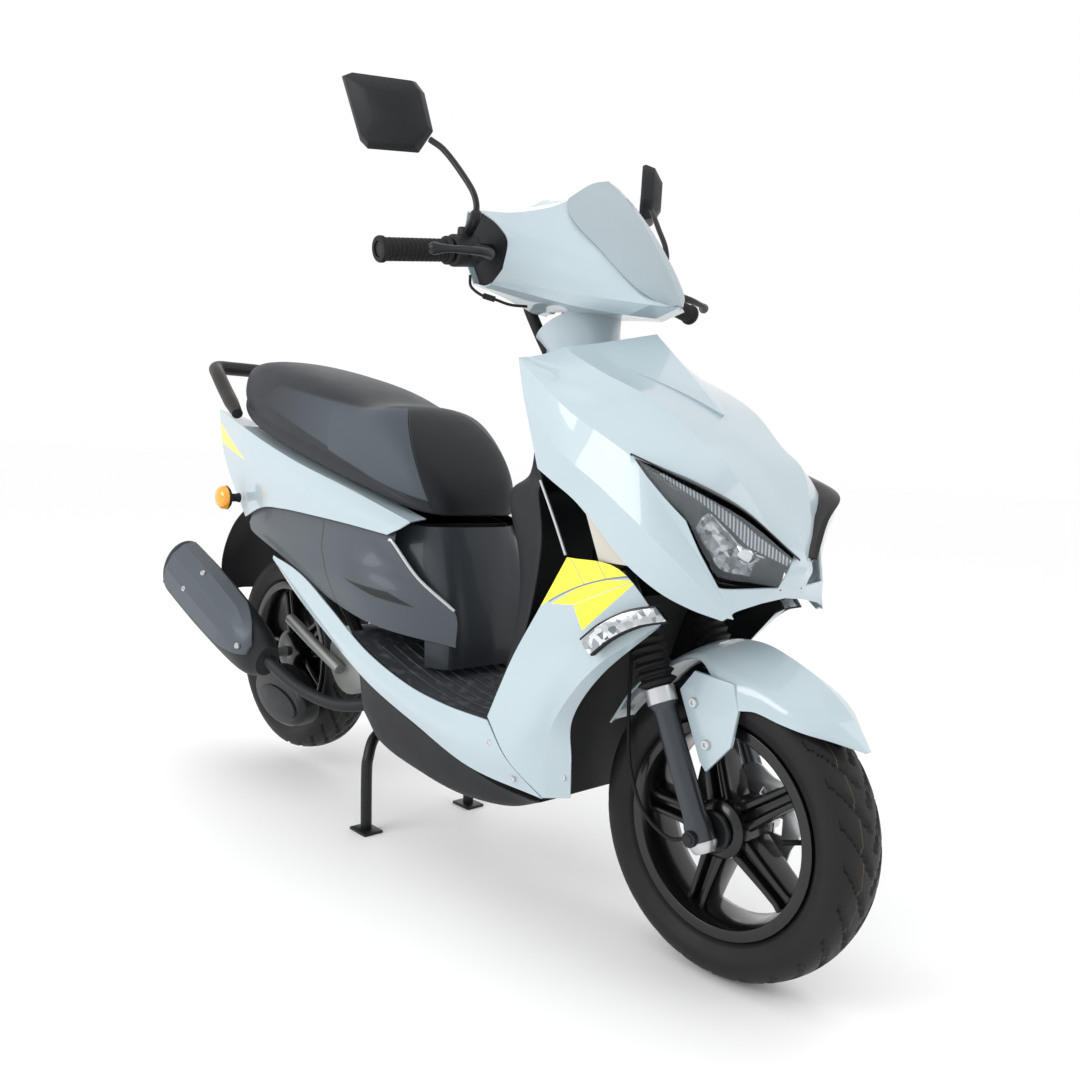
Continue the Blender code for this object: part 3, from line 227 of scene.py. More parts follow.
def seat_insert_sheen_and_shade(place, tone, roughness):
    """Lighter side inset behind a sewn seam: partly its own lighter vinyl and partly painted sheen that
    fades to the rear; the front face is painted darker as shade.
    """
    x = place.part("X")
    front = ((-0.260, 0.742), (-0.029, 0.672), (0.028, 0.658), (0.014, 0.706), (-0.030, 0.772),
             (-0.075, 0.831), (-0.260, 0.828))
    back = ((-0.560, 0.836), (-0.446, 0.802), (-0.160, 0.714), (-0.160, 0.826), (-0.490, 0.874))
    # Lighter side inset of vinyl: its brightness is partly painted sheen, and the fade towards the rear is
    # painted sheen.
    insert_and_sheen = patch(place, front, 0.003).maths("MAXIMUM", patch(place, back, 0.006) * x.over(-0.56, 0.34))
    corner = x + place.part("Z") * 0.58 - place.part("Y").maths("ABSOLUTE") * 0.8
    facing = corner.over(SEAT_CORNER, 0.006)
    seam = corner.band(SEAT_CORNER - 0.0005, SEAT_CORNER + 0.0015)
    insert_and_sheen = insert_and_sheen * (1.0 - facing)
    tone = insert_and_sheen.mix(tone, colour(72, 79, 87))
    # Painted shade: the seat's front face, ahead of the corner line, is darkened.
    tone = facing.mix(tone, colour(25, 27, 31))
    return seam.mix(tone, colour(16, 17, 19)), roughness + insert_and_sheen * 0.06, insert_and_sheen * 1.5 - seam * 2.0


def tyre_marks(place, tone, roughness):
    """Thin tan line left beside the tread."""
    side = place.part("Y").maths("ABSOLUTE")
    return side.band(0.0205, 0.0213).mix(tone, colour(92, 80, 50)), roughness, 0.0


def mat_wear(place, tone, roughness):
    """Dust trodden into the mat."""
    dust = place.noise(60.0, 6.0).over(0.52, 0.2)
    return dust.mix(tone, colour(84, 88, 92)), roughness + dust * 0.1, 0.0


def facets(place, tone, roughness):
    """Painted reflections: small mirror facets of a lamp, each given a random brightness between dark and
    bright.
    """
    facet_glint = place.add("ShaderNodeTexVoronoi", {}, {"Vector": place, "Scale": 110.0}, 1).part("X")
    # Painted reflection: each facet gets a random brightness from dark to near white.
    return facet_glint.mix(tone, colour(226, 231, 234)), roughness, facet_glint * 2.0


def ribs(place, tone, roughness):
    """Painted highlights and shade of upright ribs on a light strip."""
    wave = (place.part("X") * 1100.0 + place.part("Y") * 700.0).maths("SINE")
    # Painted highlights: pale stripes on the ribs, with the dark between them as painted shade.
    return wave.over(-0.2, 0.6).mix(tone, colour(178, 186, 192)), roughness, wave


LOOKS = {}
PAINT = colour(173, 189, 196)
BARE_PLASTIC = colour(30, 32, 34)
material("paint", PAINT, 0.34, 0.0, 0.012, 0.02, coat=0.8)
material("shield_paint", PAINT, 0.34, 0.0, 0.012, 0.02, coat=0.8, paint=yellow_fan)
material("tail_paint", PAINT, 0.34, 0.0, 0.012, 0.02, coat=0.8, paint=yellow_stripe)
material("visor", colour(150, 164, 170), 0.42, 0.0, 0.012, 0.02, coat=0.3)
material("side", colour(72, 79, 85), 0.42, 0.1, 0.03, 0.04, grain=0.04, coat=0.15, paint=side_marks,
         Specular_IOR_Level=0.3)
# Darker copy of the side panel's charcoal: painted shade for the panel below the seat's front.
material("side_shaded_copy", colour(50, 55, 60), 0.42, 0.1, 0.03, 0.04, grain=0.04, coat=0.15,
         Specular_IOR_Level=0.3)
material("silver", colour(200, 203, 205), 0.3, 0.8, 0.03)
material("plastic", colour(27, 28, 31), 0.5, 0.0, 0.1, 0.08, grain=0.25, grain_size=1400.0,
         Specular_IOR_Level=0.25)
material("gloss_black", colour(14, 15, 17), 0.16, 0.0, 0.1, 0.05, Specular_IOR_Level=0.3)
material("satin_black", colour(24, 25, 27), 0.36, 0.0, 0.08, Specular_IOR_Level=0.3)
material("rail", colour(38, 34, 33), 0.42, 0.0, 0.08, 0.06, grain=0.1, Specular_IOR_Level=0.3)
material("mat", colour(52, 55, 59), 0.6, 0.0, 0.12, 0.1, grain=0.4, grain_size=700.0, paint=mat_wear,
         Specular_IOR_Level=0.25)
material("rubber", colour(22, 22, 24), 0.6, 0.0, 0.1, 0.08, grain=0.2, Specular_IOR_Level=0.25)
material("tyre", colour(26, 26, 28), 0.55, 0.0, 0.12, 0.1, grain=0.15, paint=tyre_marks,
         Specular_IOR_Level=0.25)
material("rim", colour(13, 13, 15), 0.2, 0.0, 0.1, 0.05, coat=0.15, Specular_IOR_Level=0.4)
material("vinyl", colour(36, 38, 43), 0.5, 0.0, 0.06, 0.05, grain=0.3, grain_size=1100.0,
         paint=seat_insert_sheen_and_shade, Specular_IOR_Level=0.25)
material("steel", colour(196, 198, 200), 0.32, 0.7, 0.05, 0.06)
material("chrome", colour(214, 217, 220), 0.1, 1.0, 0.03, 0.03)
# Lamp mirror facets: their bright and dark patches are painted reflections.
material("facets", colour(84, 90, 96), 0.2, 0.7, 0.05, 0.05, coat=0.5, paint=facets)
# Light strip: its pale stripes are painted rib highlights.
material("ribs", colour(70, 76, 82), 0.25, 0.3, 0.05, 0.05, coat=0.5, paint=ribs)
material("casting", colour(150, 152, 150), 0.5, 0.8, 0.08, 0.1, grain=0.3, grain_size=500.0)
material("muffler", colour(38, 41, 44), 0.5, 0.2, 0.1, 0.1, grain=0.15, Specular_IOR_Level=0.3)
material("shield", colour(80, 86, 93), 0.4, 0.2, 0.08, 0.08, grain=0.1, Specular_IOR_Level=0.3)
material("fork", colour(66, 69, 74), 0.3, 0.7, 0.06, 0.06)
material("smoke", colour(190, 198, 204), 0.05, 0.0, 0.03, 0.02, Alpha=0.10)
material("amber", colour(245, 160, 20), 0.15, 0.0, 0.08, 0.05, coat=1.0)
material("red", colour(150, 12, 14), 0.12, 0.0, 0.08, 0.05, coat=1.0)
material("mirror_glass", colour(214, 218, 220), 0.04, 1.0, 0.02, 0.02)
material("beige", colour(196, 192, 180), 0.4, 0.0, 0.04, 0.05)
material("pale_nut", colour(200, 192, 158), 0.4, 0.2, 0.08)


def spline(points, steps, sharp=()):
    """Points on a smooth line through the given points, with corners at the sharp ones."""
    points = [Vector(point) for point in points]
    last = len(points) - 1
    line = [points[0]]
    for i in range(last):
        before = points[i] if i == 0 or i in sharp else points[i - 1]
        after = points[i + 1] if i + 1 == last or i + 1 in sharp else points[i + 2]
        start = points[i + 1] - before
        finish = after - points[i]
        if i and i not in sharp:
            start = start / 2
        if i + 1 < last and i + 1 not in sharp:
            finish = finish / 2
        for step in range(1, steps + 1):
            t = step / steps
            a = 2 * t ** 3 - 3 * t ** 2 + 1
            b = t ** 3 - 2 * t ** 2 + t
            c = t ** 3 - t ** 2
            line.append(points[i] * a + start * b + points[i + 1] * (1 - a) + finish * c)
    return line


def grid_mesh(columns, closed_across=False, closed_along=False):
    """Sheet through columns of points, joined end to end where closed."""
    mesh = bmesh.new()
    grid = [[mesh.verts.new(point) for point in column] for column in columns]
    count = len(grid)
    length = len(grid[0])
    for i in range(count if closed_across else count - 1):
        for j in range(length if closed_along else length - 1):
            k = (i + 1) % count
            m = (j + 1) % length
            mesh.faces.new((grid[i][j], grid[k][j], grid[k][m], grid[i][m]))
    return mesh


def surface(rows, along, across, sharp=(), sharp_along=()):
    """Smooth sheet through rows of points, creased where asked."""
    fine = [spline(row, along, sharp_along) for row in rows]
    return grid_mesh([spline(column, across, sharp) for column in zip(*fine)])


def face_away(mesh, inside):
    """Turn an open sheet's faces so that they look away from a point inside the object."""
    bmesh.ops.recalc_face_normals(mesh, faces=mesh.faces)
    inside = Vector(inside)
    lean = sum((f.calc_center_median() - inside).dot(f.normal) * f.calc_area() for f in mesh.faces)
    if lean < 0:
        bmesh.ops.reverse_faces(mesh, faces=mesh.faces)


def ring_solid(rings, caps=True):
    """Closed body through rings of equal count."""
    mesh = bmesh.new()
    loops = [[mesh.verts.new(point) for point in ring] for ring in rings]
    count = len(loops[0])
    for low, high in zip(loops, loops[1:]):
        for i in range(count):
            mesh.faces.new((low[i], low[(i + 1) % count], high[(i + 1) % count], high[i]))
    if caps:
        mesh.faces.new(loops[0])
        mesh.faces.new(loops[-1])
    bmesh.ops.recalc_face_normals(mesh, faces=mesh.faces)
    return mesh


def turned(profile, at, axis, steps=48, closed=True):
    """Profile of (radius, height) pairs spun about an axis; a closed profile is a ring."""
    turn = Vector((0, 0, 1)).rotation_difference(Vector(axis))
    at = Vector(at)
    columns = []
    for step in range(steps):
        angle = 2 * pi * step / steps
        points = [Vector((r * cos(angle), r * sin(angle), h)) for r, h in profile]
        columns.append([at + turn @ point for point in points])
    mesh = grid_mesh(columns, closed_across=True, closed_along=closed)
    bmesh.ops.remove_doubles(mesh, verts=mesh.verts, dist=0.00001)
    bmesh.ops.recalc_face_normals(mesh, faces=mesh.faces)
    return mesh


def mirrored(profile):
    """Other half of a profile that is the same on both sides of the wheel's middle."""
    return [(radius, -height) for radius, height in reversed(profile)]


def flipped(points):
    """Line of points carried over to the other side, from its far end."""
    return [(x, -y, z) for x, y, z in reversed(points)]


def sided(points, side):
    """Points given for the left side, on the side asked for."""
    return [Vector((x, side * y, z)) for x, y, z in points]


def rod(radius, low, high, edge=0.0008):
    """Profile of a solid rod with eased edges, from end to end."""
    return [(0, high), (radius - edge, high), (radius, high - edge), (radius, low + edge),
            (radius - edge, low), (0, low)]


def sleeve(outer, inner, low, high, edge=0.0006):
    """Profile of a hollow sleeve with eased outer edges."""
    return [(outer - edge, high), (outer, high - edge), (outer, low + edge), (outer - edge, low),
            (inner, low), (inner, high)]


def tube(points, radius, sides=14, radii=None):
    """Bent tube round a line of points, capped at both ends."""
    points = [Vector(point) for point in points]
    side = None
    rings = []
    for i, point in enumerate(points):
        ahead = (points[min(i + 1, len(points) - 1)] - points[max(i - 1, 0)]).normalized()
        if side is None:
            side = ahead.orthogonal().normalized()
        side = (side - ahead * side.dot(ahead)).normalized()
        other = ahead.cross(side)
        size = radius * (radii[i] if radii else 1)
        angles = [2 * pi * step / sides for step in range(sides)]
        rings.append([point + (side * cos(angle) + other * sin(angle)) * size for angle in angles])
    return ring_solid(rings)


def block(size, centre, turn=None):
    """Box of a size round a centre, turned about itself first if asked."""
    mesh = bmesh.new()
    bmesh.ops.create_cube(mesh, size=1)
    bmesh.ops.scale(mesh, vec=size, verts=mesh.verts)
    if turn is not None:
        bmesh.ops.rotate(mesh, cent=(0, 0, 0), matrix=turn, verts=mesh.verts)
    bmesh.ops.translate(mesh, vec=centre, verts=mesh.verts)
    return mesh


def plate(outline, low_y, high_y):
    """Flat plate from an outline in x and z, between two values of y."""
    return ring_solid([[(x, y, z) for x, z in outline] for y in (low_y, high_y)])


def screw_head(at, axis, radius=0.006, height=0.003):
    """Round head with a cross-shaped socket seen as a shallow dish."""
    profile = [(0, height * 0.45), (radius * 0.42, height * 0.5), (radius * 0.5, height),
               (radius * 0.85, height), (radius, height * 0.4), (radius, -0.002), (0, -0.002)]
    return turned(profile, at, axis, 20, closed=False)


def joined(*meshes):
    """Several bodies in one mesh."""
    whole = bmesh.new()
    for mesh in meshes:
        data = bpy.data.meshes.new("joined")
        mesh.to_mesh(data)
        mesh.free()
        whole.from_mesh(data)
        bpy.data.meshes.remove(data)
    return whole


def bake(obj, angle):
    """Apply the modifiers, then shade smooth with sharp edges over an angle."""
    bpy.context.view_layer.update()
    evaluated = obj.evaluated_get(bpy.context.evaluated_depsgraph_get())
    data = bpy.data.meshes.new_from_object(evaluated)
    obj.modifiers.clear()
    obj.data = data
    data.shade_smooth()
    data.set_sharp_from_angle(angle=radians(angle))


def raw(name, mesh, look):
    """Object from a mesh, in its look, before any modifier."""
    data = bpy.data.meshes.new(name)
    mesh.to_mesh(data)
    mesh.free()
    obj = bpy.data.objects.new(name, data)
    bpy.context.scene.collection.objects.link(obj)
    data.materials.append(LOOKS[look])
    return obj


def settle(obj, body, nodes=()):
    """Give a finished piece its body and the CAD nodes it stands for."""
    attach(obj, body)
    if nodes:
        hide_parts(*nodes)
    return obj


def piece(name, mesh, look, body, *nodes, bevel=0.0, angle=35):
    """Finished piece from a mesh: bevelled if asked, shaded and settled."""
    obj = raw(name, mesh, look)
    if bevel:
        add_bevel(obj, bevel)
    bake(obj, angle)
    return settle(obj, body, nodes)


def add_bevel(obj, width, angle=38):
    """Round the edges that are sharper than an angle."""
    modifier = obj.modifiers.new("edge", "BEVEL")
    modifier.width = width
    modifier.segments = 2
    modifier.limit_method = "ANGLE"
    modifier.angle_limit = radians(angle)
    modifier.use_clamp_overlap = True


def panel(name, rows, look, body, node, inside, side=1, whole=False, along=8, across=6, sharp=(),
          sharp_along=(), thickness=0.003, cutters=(), edge=0.0009, angle=16):
    """Moulded panel with eased edges: a fine sheet through the CAD panel's rows, thickened inwards."""
    mesh = surface([sided(row, side) for row in rows], along, across, sharp, sharp_along)
    face_away(mesh, (inside[0], inside[1] * side, inside[2]))
    obj = raw(name, mesh, look)
    if whole:
        mirror = obj.modifiers.new("mirror", "MIRROR")
        mirror.use_axis = (False, True, False)
        mirror.use_clip = True
        mirror.merge_threshold = 0.0001
    solid = obj.modifiers.new("thickness", "SOLIDIFY")
    solid.thickness = thickness
    solid.offset = -1
    tools = []
    for cutter in cutters:
        tool = raw("cutter", cutter, look)
        tools.append(tool)
        modifier = obj.modifiers.new("opening", "BOOLEAN")
        modifier.operation = "DIFFERENCE"
        modifier.solver = "EXACT"
        modifier.use_hole_tolerant = True
        modifier.object = tool
    if edge:
        add_bevel(obj, edge, 50)
    bake(obj, angle)
    for tool in tools:
        bpy.data.objects.remove(tool, do_unlink=True)
    return settle(obj, body, (node,) if node else ())


def cad_mesh(node):
    """Copy of a CAD node's mesh, in place."""
    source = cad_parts[node]
    mesh = bmesh.new()
    mesh.from_mesh(source.data)
    mesh.transform(source.matrix_world)
    bmesh.ops.remove_doubles(mesh, verts=mesh.verts, dist=0.00002)
    return mesh


def polished(node, look, body, bevel=0.0012, angle=30):
    """Copy of a CAD node with eased edges."""
    mesh = cad_mesh(node)
    bmesh.ops.dissolve_limit(mesh, angle_limit=radians(2), verts=mesh.verts, edges=mesh.edges)
    bmesh.ops.recalc_face_normals(mesh, faces=mesh.faces)
    return piece(node + "_look", mesh, look, body, node, bevel=bevel, angle=angle)


def leg_point(side, height):
    """Point on a fork leg's axis, at a height above the axle along the steering axis."""
    return FRONT_AXLE + Vector((0, side * LEG_HALF_TRACK, 0)) + STEER_UP * height


def bar_point(side, reach):
    """Point on the handlebar's straight end, at a reach from its root."""
    point = BAR_ROOT + (BAR_TIP - BAR_ROOT).normalized() * reach
    return Vector((point.x, side * point.y, point.z))


def bar_direction(side):
    """Direction of the handlebar's straight end, outward."""
    along = (BAR_TIP - BAR_ROOT).normalized()
    return Vector((along.x, side * along.y, along.z))


def named(base, side):
    """Name with the side that the piece is on."""
    return base + ("_right" if side < 0 else "_left")


def tyre(prefix, axle, body):
    """Tyre with angled sipes and two grooves."""
    crown = [(0.1530, -0.0360), (0.163, -0.0365), (0.170, -0.0460), (0.190, -0.0555), (0.210, -0.050),
             (0.2235, -0.033), (TYRE_RADIUS, 0)]
    crown += mirrored(crown[:-1])
    outline = [(point.x, point.y) for point in spline([(r, h, 0) for r, h in crown], 6, (1, 2, 10, 11))]
    steps = 336
    repeats = 24
    columns = []
    for step in range(steps):
        angle = 2 * pi * step / steps
        column = []
        for radius, height in outline:
            phase = (step * repeats / steps + abs(height) * 30 + (0.5 if height > 0 else 0)) % 1
            near = 0.004 < abs(height) < 0.047 and radius > 0.2
            depth = 0.0048 if near and phase < 0.22 else 0
            depth += 0.0028 if abs(abs(height) - 0.0085) < 0.0012 else 0
            size = radius - depth
            column.append(axle + Vector((size * cos(angle), height, -size * sin(angle))))
        columns.append(column)
    mesh = grid_mesh(columns, closed_across=True, closed_along=True)
    bmesh.ops.recalc_face_normals(mesh, faces=mesh.faces)
    piece(prefix + "_tyre_look", mesh, "tyre", body, prefix + "_tyre", angle=40)


def rim(prefix, axle, body, hub_radius, hub_half):
    """Cast rim with five double-ribbed spokes, and its valve."""
    half = [(0.1515, 0.0372), (0.162, 0.0374), (0.163, 0.0384), (0.163, 0.0437), (0.162, 0.0445),
            (0.149, 0.0445), (0.146, 0.0436), (0.142, 0.033), (0.139, 0.026)]
    bodies = [turned(half + mirrored(half), axle, (0, 1, 0), 96)]
    hub = [(0.012, hub_half), (hub_radius * 0.60, hub_half), (hub_radius * 0.80, hub_half - 0.002),
           (hub_radius * 0.95, hub_half - 0.008), (hub_radius, hub_half - 0.018)]
    bodies.append(turned(hub + mirrored(hub), axle, (0, 1, 0), 48))
    for number in range(5):
        turn = Matrix.Rotation(2 * pi * number / 5 + pi, 3, "Y")
        rings = []
        for radius, width, depth in ((0.026, 0.023, 0.030), (0.060, 0.021, 0.0285), (0.100, 0.0185, 0.0260),
                                     (0.128, 0.0180, 0.0245), (0.146, 0.0220, 0.0255)):
            face = [(-width, depth - 0.009), (-width * 0.86, depth - 0.001), (-width * 0.74, depth),
                    (-width * 0.46, depth), (-width * 0.34, depth - 0.004), (-width * 0.26, depth - 0.015)]
            face += [(-across, high) for across, high in reversed(face)]
            ring = face + [(across, -high) for across, high in reversed(face)]
            rings.append([axle + turn @ Vector((radius, high, across)) for across, high in ring])
        bodies.append(ring_solid(rings))
    piece(prefix + "_rim_look", joined(*bodies), "rim", body, prefix + "_rim", bevel=0.001, angle=32)
    valve = axle + Vector((0.134, -0.026, 0.02))
    piece(prefix + "_valve", turned(rod(0.004, 0, 0.03), valve, (-0.6, -0.8, 0), 12, False), "rubber", body)


def brake_parts():
    """Wavy drilled disc, its caliper, axle nuts and the speedometer drive."""
    piece("brake_disc_look", cad_mesh("brake_disc"), "steel", "front_wheel", "brake_disc", bevel=0.0004)
    polished("brake_caliper", "satin_black", "fork_lower", 0.003)
    profile = [(0, 0.109), (0.007, 0.109), (0.0075, 0.1075), (0.0115, 0.1075), (0.012, 0.106),
               (0.012, 0.1006), (0.0078, 0.1006)]
    axle = turned(profile + mirrored(profile), FRONT_AXLE, (0, 1, 0), 32, False)
    piece("front_axle_look", axle, "satin_black", "fork_lower", "front_axle")
    drive = turned(sleeve(0.032, 0.012, -0.058, -0.047, 0.003), FRONT_AXLE, (0, 1, 0), 40)
    piece("speedo_drive", drive, "satin_black", "fork_lower")
    nut = turned(rod(0.0070, -0.004, 0.018, 0.001), (0.661, -0.0600, 0.2160), (-0.95, -0.1, -0.22), 6,
                 False)
    piece("speedo_nut", nut, "pale_nut", "fork_lower")


def fork():
    """Yoke with its stem and stanchions, then each leg and gaiter."""
    crown = [turned(rod(0.0165, 0.650, 1.085), STEER_FOOT, STEER_UP, 32, False)]
    for side in (-1, 1):
        crown.append(turned(rod(0.0132, 0.095, 0.426), leg_point(side, 0), STEER_UP, 28, False))
    centre = FRONT_AXLE + STEER_UP * 0.4175 + Vector((-0.012, 0, -0.006))
    crown.append(block((0.062, 0.198, 0.025), centre, Matrix.Rotation(-CASTER, 3, "Y")))
    piece("fork_crown_look", joined(*crown), "satin_black", "steering", "fork_crown", bevel=0.002)
    for side in (-1, 1):
        fork_leg(side)
        gaiter(side)


def fork_leg(side):
    """Lower fork leg with its bright cap and collar."""
    foot = leg_point(side, 0)
    profile = [(0, -0.024), (0.014, -0.024), (0.0165, -0.021), (0.021, -0.012), (0.021, 0.014),
               (0.0185, 0.027),
               (0.0178, 0.034), (0.0178, 0.185), (0.0190, 0.190), (0.0222, 0.194), (0.0225, 0.197),
               (0.0225, 0.219), (0.0215, 0.220), (0.0140, 0.220)]
    leg = turned(profile, foot, STEER_UP, 36, False)
    piece(named("fork_leg_look", side), leg, "fork", "fork_lower", named("fork_leg", side))
    cap = [(0, -0.009), (0.0215, -0.009), (0.0215, -0.0125), (0.0172, -0.0215), (0.0145, -0.0248),
           (0, -0.0248)]
    collar = sleeve(0.0231, 0.0150, 0.1965, 0.2205, 0.001)
    trim = joined(turned(cap, foot, STEER_UP, 36, False), turned(collar, foot, STEER_UP, 36))
    piece(named("fork_trim", side), trim, "steel", "fork_lower")


def gaiter(side):
    """Ribbed rubber boot between the leg and the yoke."""
    low_end = 0.2225
    high_end = 0.325
    ribs_high = 8
    pitch = (high_end - low_end) / ribs_high
    outline = [(0.0146, low_end), (0.0220, low_end)]
    for rib in range(ribs_high):
        low = low_end + pitch * rib
        size = 0.0300 - 0.0035 * rib / (ribs_high - 1)
        outline += [(0.0235, low + pitch * 0.10), (size - 0.001, low + pitch * 0.38),
                    (size, low + pitch * 0.5), (size - 0.001, low + pitch * 0.62),
                    (0.0235, low + pitch * 0.90)]
    outline += [(0.0200, high_end), (0.0146, high_end)]
    boot = piece(named("gaiter_look", side), turned(outline, leg_point(side, 0), STEER_UP, 36),
                 "rubber", "fork_lower", named("gaiter", side), angle=50)
    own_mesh(boot)


def fender():
    """Front fender with its two brackets and bolts."""
    stations = ((38, 0.266, 0.262, 0.006), (45, 0.268, 0.243, 0.030), (52, 0.272, 0.229, 0.055),
                (60, 0.274, 0.217, 0.066), (71, 0.276, 0.206, 0.066), (85, 0.281, 0.195, 0.066),
                (100, 0.275, 0.250, 0.053), (117, 0.262, 0.250, 0.044), (134, 0.256, 0.246, 0.052),
                (152, 0.252, 0.243, 0.054))
    rows = []
    for share, blend in ((0, 0), (0.55, 0.25), (0.92, 0.62), (1, 1)):
        row = []
        for degrees, crown, edge, width in stations:
            radius = crown + (edge - crown) * blend
            angle = radians(degrees)
            row.append((FRONT_AXLE.x + radius * cos(angle), width * share,
                        FRONT_AXLE.z + radius * sin(angle)))
        rows.append(row)
    panel("fender_look", rows, "paint", "fork_lower", "front_fender", FRONT_AXLE, whole=True, angle=30)
    outline = [(0.605, 0.430), (0.630, 0.462), (0.700, 0.456), (0.712, 0.420), (0.704, 0.366),
               (0.663, 0.319), (0.651, 0.331)]
    for side in (-1, 1):
        low, high = sorted((side * 0.0605, side * 0.0675))
        piece(named("fender_bracket", side), plate(outline, low, high), "paint", "fork_lower", bevel=0.0015)
        bolts = [screw_head((x, side * 0.0675, z), (0, side, 0), 0.0075, 0.005) for x, z in
                 ((0.634, 0.416), (0.662, 0.360))]
        piece(named("fender_bolts", side), joined(*bolts), "steel", "fork_lower")


def speedo_cable():
    """Cable from the front hub, looping back and up beside the leg."""
    route = [(0.640, -0.062, 0.212), (0.600, -0.064, 0.200), (0.550, -0.067, 0.228), (0.519, -0.068, 0.290),
             (0.508, -0.067, 0.370), (0.505, -0.065, 0.430), (0.500, -0.060, 0.490)]
    piece("speedo_cable_look", tube(spline(route, 10), 0.003), "rubber", "fork_lower", "speedo_cable")


HEADLIGHT = ((0.584, 0.172, 0.761), (0.659, 0.168, 0.734), (0.705, 0.150, 0.713), (0.727, 0.095, 0.685),
             (0.757, 0.030, 0.637), (0.736, 0.034, 0.597), (0.688, 0.105, 0.608), (0.677, 0.135, 0.649),
             (0.666, 0.152, 0.684), (0.638, 0.163, 0.709), (0.608, 0.170, 0.737))


def lamp_frame(side):
    """Corners, middle and outward normal of one headlight's outline."""
    corners = sided(HEADLIGHT, side)
    middle = sum(corners, Vector()) / len(corners)
    normal = sum(((a - middle).cross(b - middle) for a, b in zip(corners, corners[1:] + corners[:1])),
                 Vector())
    normal.normalize()
    return corners, middle, normal if normal.x > 0 else -normal


def lamp_ring(side, grow, depth):
    """Outline of a headlight, grown in its plane and moved along its normal."""
    corners, middle, normal = lamp_frame(side)
    return [corner + (corner - middle).normalized() * grow + normal * depth for corner in corners]


def spread(points, count, sharp=()):
    """Points spread along a smooth line through others."""
    line = spline(points, 12, sharp)
    return [line[round(i * (len(line) - 1) / (count - 1))] for i in range(count)]


def headlight(side):
    """Black basin, ribbed strip with painted rib highlights, faceted bowl with painted glints and a bulged
    clear lens.
    """
    corners, middle, normal = lamp_frame(side)
    upper = spread(corners[:5], 13)
    lower = spread([corners[0]] + corners[:4:-1], 13, (5,))

    def rows(levels, grow=0.0):
        made = []
        for share, depth in levels:
            row = []
            for i, (high, low) in enumerate(zip(upper, lower)):
                point = high.lerp(low, share) + normal * (depth * min(1, i / 4))
                row.append(point + (point - middle).normalized() * grow)
            made.append(row)
        return made

    inside = middle - normal
    lens = rows(((0, 0.001), (0.25, 0.009), (0.5, 0.012), (0.75, 0.009), (1, 0.001)))
    panel(named("headlight_lens", side), lens, "smoke", "chassis", None, inside, along=2, across=3,
          thickness=0.0018, edge=0.0)
    basin = rows(((0, -0.003), (0.04, -0.014), (0.3, -0.034), (0.7, -0.034), (0.96, -0.014), (1, -0.003)),
                 0.009)
    node = "headlight_unit" if side < 0 else None
    panel(named("headlight_basin", side), basin, "gloss_black", "chassis", node, inside, along=2, across=3,
          thickness=0.0018, edge=0.0)
    strip = rows(((0.10, -0.003), (0.34, -0.007)))
    panel(named("headlight_strip", side), [row[2:] for row in strip], "ribs", "chassis", None, inside,
          along=2, across=2, thickness=0.002, edge=0.0)
    bowl = rows(((0.46, -0.014), (0.55, -0.026), (0.75, -0.027), (0.92, -0.010)))
    panel(named("headlight_bowl", side), [row[7:12] for row in bowl], "facets", "chassis", None, inside,
          along=2, across=3, thickness=0.002, edge=0.0)
    lamp = [(0, 0.004), (0.010, 0.001), (0.016, -0.006), (0.0165, -0.014), (0, -0.014)]
    at = Vector((0.716, side * 0.085, 0.634)) - normal * 0.012
    piece(named("headlight_lamp", side), turned(lamp, at, normal, 24, False), "chrome", "chassis", angle=30)


